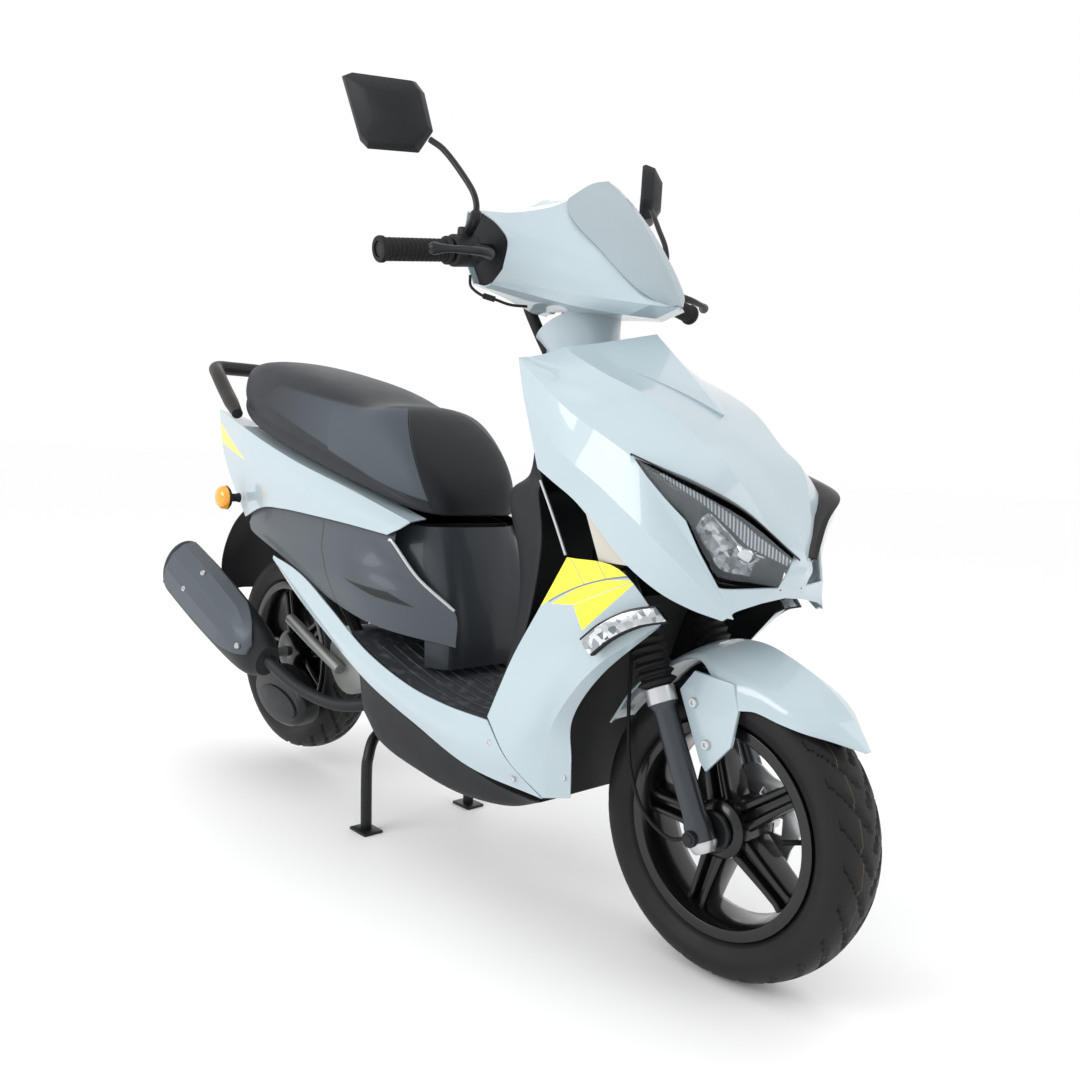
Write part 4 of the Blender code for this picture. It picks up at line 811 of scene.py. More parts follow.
def fairing():
    """Hood, cheeks and chin, with a headlight behind each opening and a raised tongue on the hood."""
    rows = [
        [(0.453, 0, 0.949), (0.528, 0, 0.886), (0.594, 0, 0.828), (0.641, 0, 0.791), (0.690, 0, 0.735),
         (0.758, 0, 0.636), (0.745, 0, 0.605), (0.728, 0, 0.578)],
        [(0.375, 0.120, 0.917), (0.472, 0.135, 0.878), (0.563, 0.115, 0.838), (0.633, 0.095, 0.786),
         (0.689, 0.085, 0.744), (0.748, 0.030, 0.634), (0.742, 0.034, 0.603), (0.724, 0.050, 0.573)],
        [(0.355, 0.150, 0.908), (0.450, 0.158, 0.867), (0.528, 0.148, 0.823), (0.629, 0.140, 0.770),
         (0.679, 0.148, 0.714), (0.703, 0.134, 0.663), (0.712, 0.124, 0.615), (0.719, 0.104, 0.563)],
        [(0.326, 0.166, 0.900), (0.395, 0.172, 0.855), (0.462, 0.174, 0.815), (0.529, 0.176, 0.785),
         (0.586, 0.174, 0.755), (0.640, 0.168, 0.695), (0.679, 0.150, 0.645), (0.723, 0.110, 0.555)],
        [(0.352, 0.178, 0.850), (0.410, 0.186, 0.790), (0.472, 0.192, 0.755), (0.537, 0.194, 0.722),
         (0.596, 0.192, 0.686), (0.649, 0.182, 0.647), (0.685, 0.160, 0.610), (0.717, 0.116, 0.556)],
        [(0.400, 0.184, 0.738), (0.440, 0.188, 0.720), (0.487, 0.188, 0.696), (0.532, 0.186, 0.662),
         (0.582, 0.179, 0.618), (0.632, 0.164, 0.584), (0.672, 0.142, 0.564), (0.709, 0.116, 0.551)],
    ]
    cutters = [ring_solid([lamp_ring(side, 0.002, depth) for depth in (0.05, -0.05)]) for side in (-1, 1)]
    ease = (1, 1, 1, 1, 0.5, 0, 0, 0)
    moulded = [list(row) for row in rows]
    for row, lift in ((1, (0.002, 0.002, 0.005)), (3, (0.002, 0.003, 0.003))):
        moulded[row] = [Vector(point) + Vector(lift) * share for point, share in zip(rows[row], ease)]
    panel("fairing_look", moulded, "paint", "chassis", "front_fairing", (0.45, 0, 0.70), whole=True,
          sharp=(1, 3, 4), cutters=cutters, edge=0.0)
    for side in (-1, 1):
        headlight(side)
    hood_tongue(rows[0], rows[1])


def hood_tongue(middle, fold):
    """Raised tongue between the hood's middle line and its first fold."""
    centre = spline(middle, 4)[:9]
    brow = spline(fold, 4)[:9]
    reach = (0.90, 0.84, 0.77, 0.69, 0.60, 0.47, 0.33, 0.18, 0.02)
    lift = Vector((0.003, 0, 0.0035))
    tongue = []
    for share in (0, 0.5, 1):
        tongue.append([a.lerp(b, share * r) + lift for a, b, r in zip(centre, brow, reach)])
    panel("hood_tongue", tongue, "paint", "chassis", None, (0.35, 0, 0.70), whole=True, along=3, across=4,
          thickness=0.006, edge=0.0012)


def indicator(side):
    """Clear strip with chrome facets, their glints painted, and a dark border."""
    ends = ((0.538, 0.196, 0.492), (0.570, 0.190, 0.520), (0.606, 0.176, 0.542), (0.642, 0.158, 0.553))
    for name, grow, look in (("indicator_border", 1.0, "gloss_black"), ("indicator_lens", 0.78, "facets")):
        rings = []
        for x, y, z in spline(ends, 8):
            lift = 0.0 if grow == 1 else 0.0015
            ring = [(x - 0.010 * grow, y, z + 0.012 * grow),
                    (x + 0.012 * grow, y - 0.004, z - 0.010 * grow)]
            ring += [(x + 0.012 * grow, y + 0.005 + lift, z - 0.010 * grow),
                     (x - 0.010 * grow, y + 0.009 + lift, z + 0.012 * grow)]
            rings.append(sided(ring, side))
        nodes = (named("front_indicator", side),) if grow == 1 else ()
        piece(named(name, side), ring_solid(rings), look, "chassis", *nodes, bevel=0.001)


def leg_shield(side):
    """Painted wing beside the front wheel."""
    wing = [
        [(0.463, 0.174, 0.612), (0.423, 0.186, 0.533), (0.376, 0.190, 0.456), (0.346, 0.191, 0.398),
         (0.318, 0.191, 0.341)],
        [(0.562, 0.168, 0.606), (0.502, 0.190, 0.512), (0.458, 0.194, 0.430), (0.410, 0.193, 0.350),
         (0.368, 0.188, 0.282)],
        [(0.632, 0.150, 0.538), (0.546, 0.183, 0.466), (0.475, 0.182, 0.386), (0.440, 0.174, 0.320),
         (0.424, 0.160, 0.230)],
        [(0.620, 0.140, 0.530), (0.540, 0.165, 0.450), (0.480, 0.160, 0.370), (0.470, 0.148, 0.300),
         (0.462, 0.138, 0.236)],
    ]
    panel(named("leg_shield_look", side), wing, "shield_paint", "chassis", named("leg_shield", side),
          (0.45, 0, 0.45), side, sharp=(2,))


def sill(side):
    """Painted strip along the floor's edge, from the wing to under the seat."""
    rows = [
        [(-0.425, 0.170, 0.516), (-0.290, 0.181, 0.492), (-0.165, 0.191, 0.446), (-0.030, 0.197, 0.388),
         (0.100, 0.198, 0.352), (0.210, 0.196, 0.338), (0.319, 0.192, 0.335)],
        [(-0.420, 0.174, 0.510), (-0.290, 0.187, 0.462), (-0.150, 0.199, 0.405), (-0.020, 0.203, 0.358),
         (0.110, 0.203, 0.318), (0.240, 0.199, 0.291), (0.365, 0.187, 0.281)],
        [(-0.415, 0.172, 0.503), (-0.290, 0.180, 0.438), (-0.140, 0.192, 0.378), (-0.010, 0.196, 0.326),
         (0.130, 0.193, 0.284), (0.270, 0.183, 0.243), (0.422, 0.160, 0.228)],
    ]
    panel(named("sill_look", side), rows, "paint", "chassis", named("sill", side), (0, 0, 0.4), side)


def side_panel(side):
    """Dark panel under the seat, with two creases."""
    flank = [
        [(0.000, 0.158, 0.604), (-0.120, 0.163, 0.616), (-0.250, 0.158, 0.622), (-0.380, 0.153, 0.622),
         (-0.490, 0.143, 0.618), (-0.600, 0.128, 0.596)],
        [(0.005, 0.164, 0.586), (-0.120, 0.170, 0.595), (-0.250, 0.165, 0.600), (-0.380, 0.158, 0.602),
         (-0.490, 0.148, 0.600), (-0.600, 0.134, 0.578)],
        [(0.047, 0.138, 0.526), (-0.080, 0.184, 0.545), (-0.220, 0.184, 0.558), (-0.360, 0.172, 0.566),
         (-0.480, 0.158, 0.573), (-0.600, 0.137, 0.570)],
        [(0.104, 0.098, 0.471), (-0.040, 0.184, 0.490), (-0.200, 0.188, 0.508), (-0.340, 0.178, 0.528),
         (-0.470, 0.160, 0.549), (-0.590, 0.138, 0.556)],
        [(0.109, 0.096, 0.405), (-0.020, 0.172, 0.428), (-0.165, 0.182, 0.456), (-0.300, 0.175, 0.495),
         (-0.430, 0.160, 0.522), (-0.575, 0.136, 0.546)],
    ]
    panel(named("side_panel_look", side), flank, "side", "chassis", named("side_panel", side),
          (-0.2, 0, 0.53), side, sharp=(1, 2))


def tail_panel(side):
    """Painted panel along the seat, up to the tail light."""
    tail = [
        [(0.020, 0.105, 0.630), (-0.167, 0.105, 0.674), (-0.363, 0.105, 0.714), (-0.530, 0.098, 0.752),
         (-0.664, 0.085, 0.787), (-0.790, 0.060, 0.806)],
        [(0.033, 0.150, 0.626), (-0.167, 0.152, 0.672), (-0.363, 0.150, 0.712), (-0.530, 0.143, 0.752),
         (-0.664, 0.132, 0.787), (-0.840, 0.096, 0.820)],
        [(0.022, 0.168, 0.612), (-0.150, 0.170, 0.640), (-0.330, 0.168, 0.665), (-0.490, 0.158, 0.685),
         (-0.620, 0.142, 0.696), (-0.775, 0.112, 0.705)],
        [(-0.010, 0.170, 0.599), (-0.140, 0.174, 0.608), (-0.280, 0.170, 0.613), (-0.410, 0.162, 0.615),
         (-0.520, 0.150, 0.609), (-0.630, 0.132, 0.580)],
    ]
    panel(named("tail_panel_look", side), tail, "tail_paint", "chassis", named("tail_panel", side),
          (-0.3, 0, 0.65), side, sharp=(1,))


def rear_indicator(side):
    """Amber lens on a short black stalk."""
    profile = [(0, 0.142), (0.011, 0.142), (0.009, 0.150), (0.009, 0.166), (0.022, 0.168), (0.0265, 0.172),
               (0.0265, 0.176), (0, 0.176)]
    stalk = turned(profile[::-1], REAR_LAMP, (0, side, 0), 32, False)
    piece(named("rear_indicator_stalk", side), stalk, "plastic", "chassis", named("rear_indicator", side))
    bulb = [(0, 0.194), (0.010, 0.1935), (0.019, 0.191), (0.0250, 0.185), (0.0265, 0.1765), (0, 0.1765)]
    piece(named("rear_indicator_lens", side), turned(bulb, REAR_LAMP, (0, side, 0), 32, False), "amber",
          "chassis")


def inner_leg_shield():
    """Black panel that faces the rider's knees."""
    inner = [
        [(0.272, 0, 0.850), (0.280, 0, 0.800), (0.280, 0, 0.725), (0.240, 0, 0.690), (0.265, 0, 0.600),
         (0.290, 0, 0.480), (0.300, 0, 0.345)],
        [(0.285, 0.085, 0.850), (0.290, 0.085, 0.800), (0.288, 0.085, 0.725), (0.250, 0.085, 0.690),
         (0.270, 0.085, 0.600), (0.292, 0.085, 0.480), (0.300, 0.085, 0.345)],
        [(0.335, 0.138, 0.860), (0.340, 0.138, 0.800), (0.335, 0.138, 0.730), (0.285, 0.135, 0.690),
         (0.312, 0.130, 0.585), (0.318, 0.140, 0.480), (0.306, 0.160, 0.350)],
        [(0.345, 0.156, 0.862), (0.372, 0.174, 0.790), (0.392, 0.168, 0.722), (0.385, 0.166, 0.700),
         (0.400, 0.170, 0.620), (0.378, 0.176, 0.480), (0.314, 0.178, 0.352)],
    ]
    panel("inner_leg_shield_look", inner, "plastic", "chassis", "inner_leg_shield", (0.60, 0, 0.60),
          whole=True, angle=30)


def front_inner_fender():
    """Guard behind the front wheel."""
    guard = [[(0.385, y, 0.205), (0.386, y, 0.300), (0.394, y, 0.400), (0.408, y, 0.480), (0.432, y, 0.535)]
             for y in (0, 0.070)]
    guard.append([(0.392, 0.120, 0.212), (0.396, 0.128, 0.300), (0.406, 0.140, 0.400),
                  (0.424, 0.150, 0.480), (0.450, 0.150, 0.535)])
    panel("front_inner_fender_look", guard, "plastic", "chassis", "front_inner_fender", (0.2, 0, 0.4),
          whole=True)


def floor_board():
    """Mat with raised ribs along it."""
    line = ((0.292, 0.327), (0.200, 0.328), (0.080, 0.350), (-0.040, 0.386), (-0.095, 0.410))
    mat = [[(x, y, z) for x, z in line] for y in (0, 0.095, 0.183)]
    panel("floor_board_look", mat, "mat", "chassis", "floor_board", (0.1, 0, 0.0), whole=True,
          thickness=0.010)
    strips = []
    for number in range(-6, 7):
        path = spline([(x, 0.025 * number, z + 0.0006) for x, z in line[:-1]], 6)
        strips.append(tube(path, 0.0022, 6))
    piece("floor_ribs", joined(*strips), "mat", "chassis")


def belly_panel():
    """Black tray below the floor."""
    belly = [[(-0.060, y, 0.236), (-0.010, y, 0.203), (0.090, y, 0.182), (0.200, y, 0.168),
              (0.310, y, 0.176), (0.372, y, 0.198)] for y in (0, 0.105)]
    belly.append([(-0.064, 0.166, 0.250), (-0.012, 0.167, 0.213), (0.090, 0.162, 0.191),
                  (0.200, 0.155, 0.178), (0.310, 0.144, 0.184), (0.378, 0.128, 0.203)])
    belly.append([(-0.070, 0.182, 0.338), (-0.010, 0.186, 0.316), (0.090, 0.185, 0.286),
                  (0.200, 0.179, 0.254), (0.310, 0.166, 0.224), (0.386, 0.150, 0.212)])
    panel("belly_look", belly, "plastic", "chassis", "belly_panel", (0.1, 0, 0.5), whole=True)


def seat_front_panel():
    """Panel below the front of the seat, in a darker copy of the side charcoal as painted shade."""
    levels = ((0.616, 0.048, 0.022, -0.050, 0.140), (0.560, 0.068, 0.052, -0.020, 0.145),
              (0.490, 0.088, 0.080, 0.030, 0.128), (0.420, 0.100, 0.094, 0.050, 0.124),
              (0.362, 0.100, 0.094, 0.052, 0.122))
    nose = []
    for z, front, corner, back, width in levels:
        nose.append([(front, 0, z), (front - 0.003, 0.055, z), (corner, 0.100, z), (back, width, z)])
    panel("seat_front_look", [list(row) for row in zip(*nose)], "side_shaded_copy", "chassis", "seat_front_panel",
          (-0.2, 0, 0.5), whole=True)


def rear_mudguard():
    """Flap behind the rear wheel."""
    flap = ((-0.600, 0.632), (-0.700, 0.612), (-0.790, 0.556), (-0.845, 0.470), (-0.838, 0.385))
    rows = [[(x, y, z - 0.012 * (y > 0.05)) for x, z in flap] for y in (0, 0.045, 0.085)]
    panel("rear_mudguard_look", rows, "plastic", "chassis", "rear_mudguard", (-0.6, 0, 0.30), whole=True)


def body_panels():
    """Painted and black panels of the frame side."""
    for side in (-1, 1):
        for build in (leg_shield, sill, side_panel, tail_panel, indicator, rear_indicator):
            build(side)
    for build in (inner_leg_shield, front_inner_fender, floor_board, belly_panel, seat_front_panel,
                  rear_mudguard):
        build()


def trims():
    """Panel screws, silver trim lines and the pale plate behind the cheek."""
    for side in (-1, 1):
        heads = [screw_head((x, side * y, z), (0.3, side, 0), 0.005, 0.002) for x, y, z in
                 ((0.327, 0.1915, 0.300), (0.372, 0.179, 0.250), (0.456, 0.149, 0.270))]
        piece(named("panel_screws", side), joined(*heads), "steel", "chassis")
        edge = [(-0.005, 0.168, 0.590), (0.006, 0.166, 0.586), (0.049, 0.140, 0.526), (0.106, 0.100, 0.472)]
        line = tube(spline(sided(edge, side), 8), 0.0028, 10)
        piece(named("side_trim", side), line, "silver", "chassis")
        edge = [(0.394, 0.171, 0.720), (0.429, 0.173, 0.667), (0.461, 0.175, 0.615)]
        line = tube(spline(sided(edge, side), 8), 0.0024, 10)
        piece(named("shield_trim", side), line, "silver", "chassis")
        low, high = sorted((side * 0.162, side * 0.166))
        cheek = plate([(0.478, 0.700), (0.545, 0.650), (0.588, 0.612), (0.520, 0.612)], low, high)
        piece(named("cheek_plate", side), cheek, "beige", "chassis", bevel=0.001)


def tail_end():
    """Grab rail round the seat's end and the tail light under it."""
    half = [(-0.690, 0.124, 0.809), (-0.760, 0.113, 0.850), (-0.830, 0.103, 0.897), (-0.878, 0.085, 0.918)]
    half.append((-0.8842, 0.040, 0.921))
    path = spline(half + flipped(half), 8)
    sizes = [min(1, 0.75 + 0.05 * min(i, len(path) - 1 - i)) for i in range(len(path))]
    piece("grab_rail_look", tube(path, 0.0165, 24, sizes), "rail", "chassis", "grab_rail")
    polished("tail_light", "red", "chassis", 0.004)


def seat():
    """Stepped vinyl cushion with a crown, drawn-in sides and a cross channel at the step."""
    stations = ((0.046, 0.636, 0.662, 0.060), (0.030, 0.635, 0.700, 0.095), (0.000, 0.640, 0.737, 0.122),
                (-0.040, 0.650, 0.782, 0.138), (-0.095, 0.664, 0.828, 0.147), (-0.135, 0.674, 0.843, 0.150),
                (-0.185, 0.684, 0.838, 0.151), (-0.225, 0.692, 0.852, 0.151), (-0.310, 0.710, 0.884, 0.149),
                (-0.420, 0.733, 0.906, 0.145), (-0.530, 0.760, 0.925, 0.139), (-0.640, 0.790, 0.938, 0.124),
                (-0.715, 0.824, 0.930, 0.098), (-0.742, 0.868, 0.905, 0.060))
    shape = ((0, 0.0), (0.90, 0.0), (0.98, 0.05), (0.985, 0.16), (0.945, 0.19), (0.955, 0.23),
             (0.995, 0.36), (0.975, 0.58), (0.88, 0.82), (0.70, 0.94), (0.36, 0.99))
    rings = []
    for x, low, high, width in stations:
        half = [(width * across, low + (high - low) * up) for across, up in shape]
        ring = half + [(0, high)] + [(-y, z) for y, z in reversed(half[1:])]
        rings.append([(x, y, z) for y, z in ring])
    obj = raw("seat_look", ring_solid(rings), "vinyl")
    smooth = obj.modifiers.new("smooth", "SUBSURF")
    smooth.levels = 2
    smooth.render_levels = 2
    bake(obj, 60)
    settle(obj, "seat_cushion", ("seat",))


def headset():
    """Cover with its wings, and a black sheet inside each end as painted shade in the opening."""
    rows = [
        [(0.250, 0, 1.176), (0.335, 0, 1.190), (0.400, 0, 1.125), (0.460, 0, 1.050), (0.499, 0, 0.990),
         (0.452, 0, 0.976), (0.360, 0, 0.984), (0.235, 0, 0.985), (0.212, 0, 1.085)],
        [(0.245, 0.060, 1.166), (0.315, 0.060, 1.160), (0.375, 0.066, 1.090), (0.430, 0.058, 1.032),
         (0.475, 0.040, 0.990), (0.430, 0.040, 0.977), (0.345, 0.055, 0.985), (0.233, 0.060, 0.988),
         (0.210, 0.060, 1.085)],
        [(0.228, 0.100, 1.143), (0.300, 0.100, 1.140), (0.335, 0.105, 1.085), (0.365, 0.100, 1.040),
         (0.385, 0.085, 1.003), (0.355, 0.090, 0.990), (0.300, 0.090, 0.993), (0.228, 0.090, 0.998),
         (0.205, 0.100, 1.080)],
        [(0.215, 0.145, 1.136), (0.270, 0.145, 1.128), (0.310, 0.135, 1.082), (0.318, 0.128, 1.050),
         (0.305, 0.125, 1.018), (0.285, 0.125, 1.008), (0.255, 0.125, 1.006), (0.218, 0.125, 1.010),
         (0.199, 0.140, 1.075)],
        [(0.205, 0.183, 1.130), (0.238, 0.183, 1.127), (0.265, 0.172, 1.108), (0.285, 0.165, 1.080),
         (0.270, 0.160, 1.040), (0.250, 0.165, 1.018), (0.232, 0.165, 1.015), (0.208, 0.168, 1.020),
         (0.194, 0.180, 1.075)],
    ]
    rows = [row + [row[0]] for row in rows]
    holes = [turned(rod(radius, 1.04, high), STEER_FOOT, STEER_UP, 32, False)
             for radius, high in ((0.060, 1.10), (0.046, 1.15))]
    panel("headset_look", rows, "paint", "steering", "headset_cover", (0.27, 0.09, 1.07), whole=True,
          along=6, across=6, sharp=(1,), sharp_along=(1, 4, 5, 7), thickness=0.0025, cutters=holes,
          edge=0.0)
    # Painted shade: a black sheet set just inside each wing's end stands for the dark inside of the
    # opening.
    for side in (-1, 1):
        ring = sided(rows[4][:-1], side)
        middle = sum(ring, Vector()) / len(ring)
        plug = [[middle + (point - middle) * 0.95 - Vector((0, side * depth, 0)) for point in ring]
                for depth in (0.010, 0.013)]
        piece(named("headset_plug", side), ring_solid(plug), "plastic", "steering")


def headset_trim():
    """Raised visor, dash and neck, with the leads beside them."""
    visor = [
        [(0.332, 0, 1.197), (0.369, 0, 1.168), (0.408, 0, 1.128), (0.443, 0, 1.084), (0.471, 0, 1.046),
         (0.491, 0, 1.014), (0.503, 0, 0.992)],
        [(0.331, 0.038, 1.184), (0.358, 0.043, 1.157), (0.391, 0.043, 1.123), (0.427, 0.039, 1.084),
         (0.460, 0.034, 1.044), (0.484, 0.026, 1.012), (0.499, 0.008, 0.992)],
        [(0.314, 0.070, 1.158), (0.329, 0.079, 1.132), (0.355, 0.079, 1.106), (0.391, 0.070, 1.074),
         (0.433, 0.061, 1.035), (0.463, 0.047, 1.008), (0.487, 0.014, 0.988)],
    ]
    panel("visor", visor, "visor", "steering", None, (0.25, 0, 1.05), whole=True, thickness=0.006,
          edge=0.0015)
    dash = block((0.003, 0.110, 0.062), (0.229, 0, 1.131), Matrix.Rotation(radians(23), 3, "Y"))
    piece("dash", dash, "gloss_black", "steering", bevel=0.001)
    ring = [(0.0540, 1.000), (0.0560, 1.015), (0.0600, 1.035), (0.0660, 1.055), (0.0740, 1.078),
            (0.0700, 1.078), (0.0560, 1.035), (0.0500, 1.000)]
    piece("neck_look", turned(ring, STEER_FOOT, STEER_UP, 64), "paint", "steering", "neck_shroud")
    lead = [(0.247, -0.205, 1.026), (0.248, -0.203, 1.009), (0.259, -0.190, 0.997), (0.273, -0.175, 0.992),
            (0.280, -0.150, 0.987), (0.286, -0.120, 0.988)]
    joint = [Vector(lead[2]).lerp(Vector(lead[3]), share) for share in (0.1, 0.5, 1.0)]
    piece("switch_lead", joined(tube(spline(lead, 6), 0.0022, 10), tube(joint, 0.0045, 10)), "rubber",
          "steering")
    loom = [(0.203, -0.045, 1.045), (0.207, -0.050, 1.010), (0.235, -0.050, 0.965), (0.262, -0.048, 0.926)]
    piece("cable_loom", tube(spline(loom, 6), 0.010, 14), "rubber", "steering")


def handlebar():
    """Bent bar with its clamp on the steering stem."""
    right = [bar_point(-1, 0.198), bar_point(-1, 0), (0.256, -0.105, 1.056), (0.272, -0.045, 1.020)]
    path = spline(right + [(0.2735, 0, 0.997)] + flipped(right), 6)
    clamp = turned(sleeve(0.0235, 0.0171, 1.035, 1.110, 0.002), STEER_FOOT, STEER_UP, 32)
    piece("handlebar_look", joined(tube(path, 0.0108, 20), clamp), "satin_black", "steering", "handlebar")


def grip(side, body, node):
    """Rubber grip with rings of grooves between two flanges."""
    grooves = 13
    outline = [(0.0116, 0.200), (0.0180, 0.200), (0.0190, 0.198), (0.0190, 0.193), (0.0165, 0.190)]
    for number in range(grooves):
        at = 0.186 - number * 0.0076
        outline += [(0.0168, at), (0.0155, at - 0.0012), (0.0155, at - 0.0030), (0.0168, at - 0.0042)]
    outline += [(0.0168, 0.087), (0.0205, 0.085), (0.0210, 0.084), (0.0210, 0.081), (0.0200, 0.080),
                (0.0116, 0.080)]
    mesh = turned(outline, bar_point(side, 0), bar_direction(side), 36)
    piece(node + "_look", mesh, "rubber", body, node)


def switch_pod(side, button, body):
    """Clamped pod with its button and the foot of the mirror."""
    along = bar_direction(side)
    pod = [turned(sleeve(0.024, 0.0116, 0.030, 0.076, 0.004), bar_point(side, 0), along, 36)]
    pod.append(block((0.026, 0.022, 0.020), bar_point(side, 0.044) + Vector((0.028, 0, -0.006))))
    pod.append(turned(rod(0.012, 0.010, 0.034, 0.002), bar_point(side, 0.052), (0.1, 0, 1), 24, False))
    piece(named("switch_pod_look", side), joined(*pod), "plastic", "steering", named("switch_pod", side),
          bevel=0.002)
    cap = turned(rod(0.0052, 0.0225, 0.0285, 0.001), bar_point(side, 0.058), (-1, 0, 0), 24, False)
    piece(button + "_look", cap, "gloss_black", body, button)


def brake_lever(side):
    """Bent lever with a ball end."""
    pivot = bar_point(side, 0.044) + Vector((0.053, 0, -0.010))
    reach = [(0.0, 0.0), (0.012, 0.020), (0.018, 0.050), (0.014, 0.085), (0.006, 0.102), (0.003, 0.108),
             (0.001, 0.113)]
    route = [pivot + Vector((x, side * y, -0.10 * y)) for x, y in reach]
    sizes = [1.5, 1.15, 1.0, 0.85, 1.35, 1.4, 0.7]
    lever = tube(spline(route, 4), 0.0062, 16, [point.x for point in spline([(s, 0, 0) for s in sizes], 4)])
    piece(named("brake_lever_look", side), lever, "satin_black", named("lever", side)[6:] + "_lever",
          named("brake_lever", side))


def controls():
    """Bar, grips, pods, levers, buttons and mirrors."""
    handlebar()
    grip(-1, "throttle", "throttle_grip")
    grip(1, "steering", "left_grip")
    for side, button, body in ((-1, "start_button", "starter"), (1, "horn_button", "horn")):
        switch_pod(side, button, body)
        brake_lever(side)
        mirror(side)


def mirror(side):
    """Kite-shaped head with its glass, on a bent stem."""
    base = bar_point(side, 0.052)
    ball = Vector((0.196, side * 0.252, 1.226))
    turn = Matrix.Rotation(side * MIRROR_TURN, 3, "Z")
    bends = ((0.272, 0.218, 1.110), (0.268, 0.220, 1.139), (0.242, 0.228, 1.175), (0.215, 0.240, 1.207))
    route = [base + Vector((0.010, 0, 0.0265)), *sided(bends, side), ball + Vector((0, 0, -0.004))]
    line = spline(route, 8)
    sizes = [1.7 if i < 10 else 1.0 for i in range(len(line))]
    piece(named("mirror_stem_look", side), tube(line, 0.0048, 16, sizes), "satin_black", "steering",
          named("mirror_stem", side))
    kite = [(-0.003, 0.012), (0.012, 0.066), (0.026, 0.082), (0.124, 0.088), (0.138, 0.082),
            (0.108, -0.009), (0.096, -0.020), (0.018, -0.021)]
    middle = Vector((0, 0.066, 0.034))

    def ring(back, share):
        points = []
        for y, z in kite:
            point = Vector((back, middle.y + (y - middle.y) * share, middle.z + (z - middle.z) * share))
            points.append(ball + turn @ Vector((point.x, side * point.y, point.z)))
        return points

    steps = ((-0.018, 0.92), (-0.020, 0.95), (-0.014, 1.0), (0.004, 0.90), (0.020, 0.45))
    head = ring_solid([ring(back, share) for back, share in steps])
    body = named("mirror", side)[7:] + "_mirror"
    piece(named("mirror_look", side), head, "plastic", body, named("mirror", side), bevel=0.004, angle=40)
    glass = ring_solid([ring(-0.0205, 0.90), ring(-0.0195, 0.90)])
    piece(named("mirror_glass", side), glass, "mirror_glass", body)


def silencer_ring(section, grow, start, end, steps):
    """Points round the silencer between two angles, in degrees."""
    x, y, z, across, up = section
    slope = radians(22)
    points = []
    for step in range(steps):
        angle = radians(start + (end - start) * step / (steps - 1))
        lift = (up + grow) * sin(angle)
        points.append(Vector((x + lift * sin(slope), y + (across + grow) * cos(angle),
                              z + lift * cos(slope))))
    return points


def silencer():
    """Header pipe, oval silencer, heat shield with its screws and the outlet."""
    sections = ((-0.425, -0.180, 0.290, 0.026, 0.036), (-0.470, -0.190, 0.312, 0.044, 0.060),
                (-0.630, -0.196, 0.378, 0.049, 0.073), (-0.775, -0.200, 0.436, 0.048, 0.074),
                (-0.802, -0.200, 0.446, 0.046, 0.071), (-0.812, -0.200, 0.450, 0.036, 0.056))
    columns = [spline([(value, 0, 0) for value in column], 5) for column in zip(*sections)]
    fine = [[value.x for value in row] for row in zip(*columns)]
    pipe = [(-0.170, -0.0335, 0.250), (-0.185, -0.075, 0.236), (-0.260, -0.115, 0.224),
            (-0.350, -0.150, 0.246), (-0.440, -0.182, 0.298)]
    can = ring_solid([silencer_ring(row, 0, 0, 351, 40) for row in fine])
    outlet = turned(sleeve(0.013, 0.010, 0, 0.016), (-0.806, -0.200, 0.448), (-0.928, 0, 0.371), 28)
    piece("muffler_look", joined(can, tube(spline(pipe, 8), 0.013, 20), outlet), "muffler", "swing_unit",
          "muffler")
    rings = []
    for i, row in enumerate(fine[2:16]):
        open_share = min(1, i / 5)
        start = 140 - 54 * open_share
        end = 168 + 26 * open_share
        rings.append(silencer_ring(row, 0.010, start, end, 5) + silencer_ring(row, 0.004, end, start, 5))
    piece("heat_shield", ring_solid(rings), "shield", "swing_unit", bevel=0.0015, angle=18)
    heads = [screw_head(at, axis, 0.0065, 0.003) for at, axis in
             (((-0.633, -0.228, 0.455), (0.32, -0.53, 0.79)),
              ((-0.674, -0.2535, 0.416), (0.08, -0.97, 0.21)),
              ((-0.446, -0.2386, 0.3254), (0.12, -0.945, 0.30)))]
    piece("shield_screws", joined(*heads), "steel", "swing_unit")


def oval(centre, half, lean, y):
    """Ring of points in an upright plane: centre and half sizes as (x, z) pairs, leaning in degrees."""
    points = []
    for step in range(32):
        angle = 2 * pi * step / 32
        along = half[0] * cos(angle)
        up = half[1] * sin(angle)
        points.append((centre[0] + along * cos(radians(lean)) - up * sin(radians(lean)), y,
                       centre[1] + along * sin(radians(lean)) + up * cos(radians(lean))))
    return points


def swing_unit():
    """Engine case and its exhaust."""
    polished("engine_case", "casting", "swing_unit", 0.003)
    silencer()
    chamber = [oval((-0.475, 0.198), (0.108 * share, 0.062 * share), -8, y) for share, y in
               ((0.86, -0.078), (1.0, -0.088), (1.0, -0.120), (0.88, -0.132))]
    piece("exhaust_chamber", ring_solid(chamber), "satin_black", "swing_unit", bevel=0.003)
    cover = [oval((-0.464, 0.188), (0.078, 0.030), -8, y) for y in (-0.130, -0.137)]
    piece("chamber_cover", ring_solid(cover), "muffler", "swing_unit", bevel=0.002)
    bar = [(-0.495, -0.090, 0.364), (-0.390, -0.092, 0.327), (-0.285, -0.090, 0.289)]
    piece("crankcase_bar", tube(bar, 0.012, 16), "casting", "swing_unit")


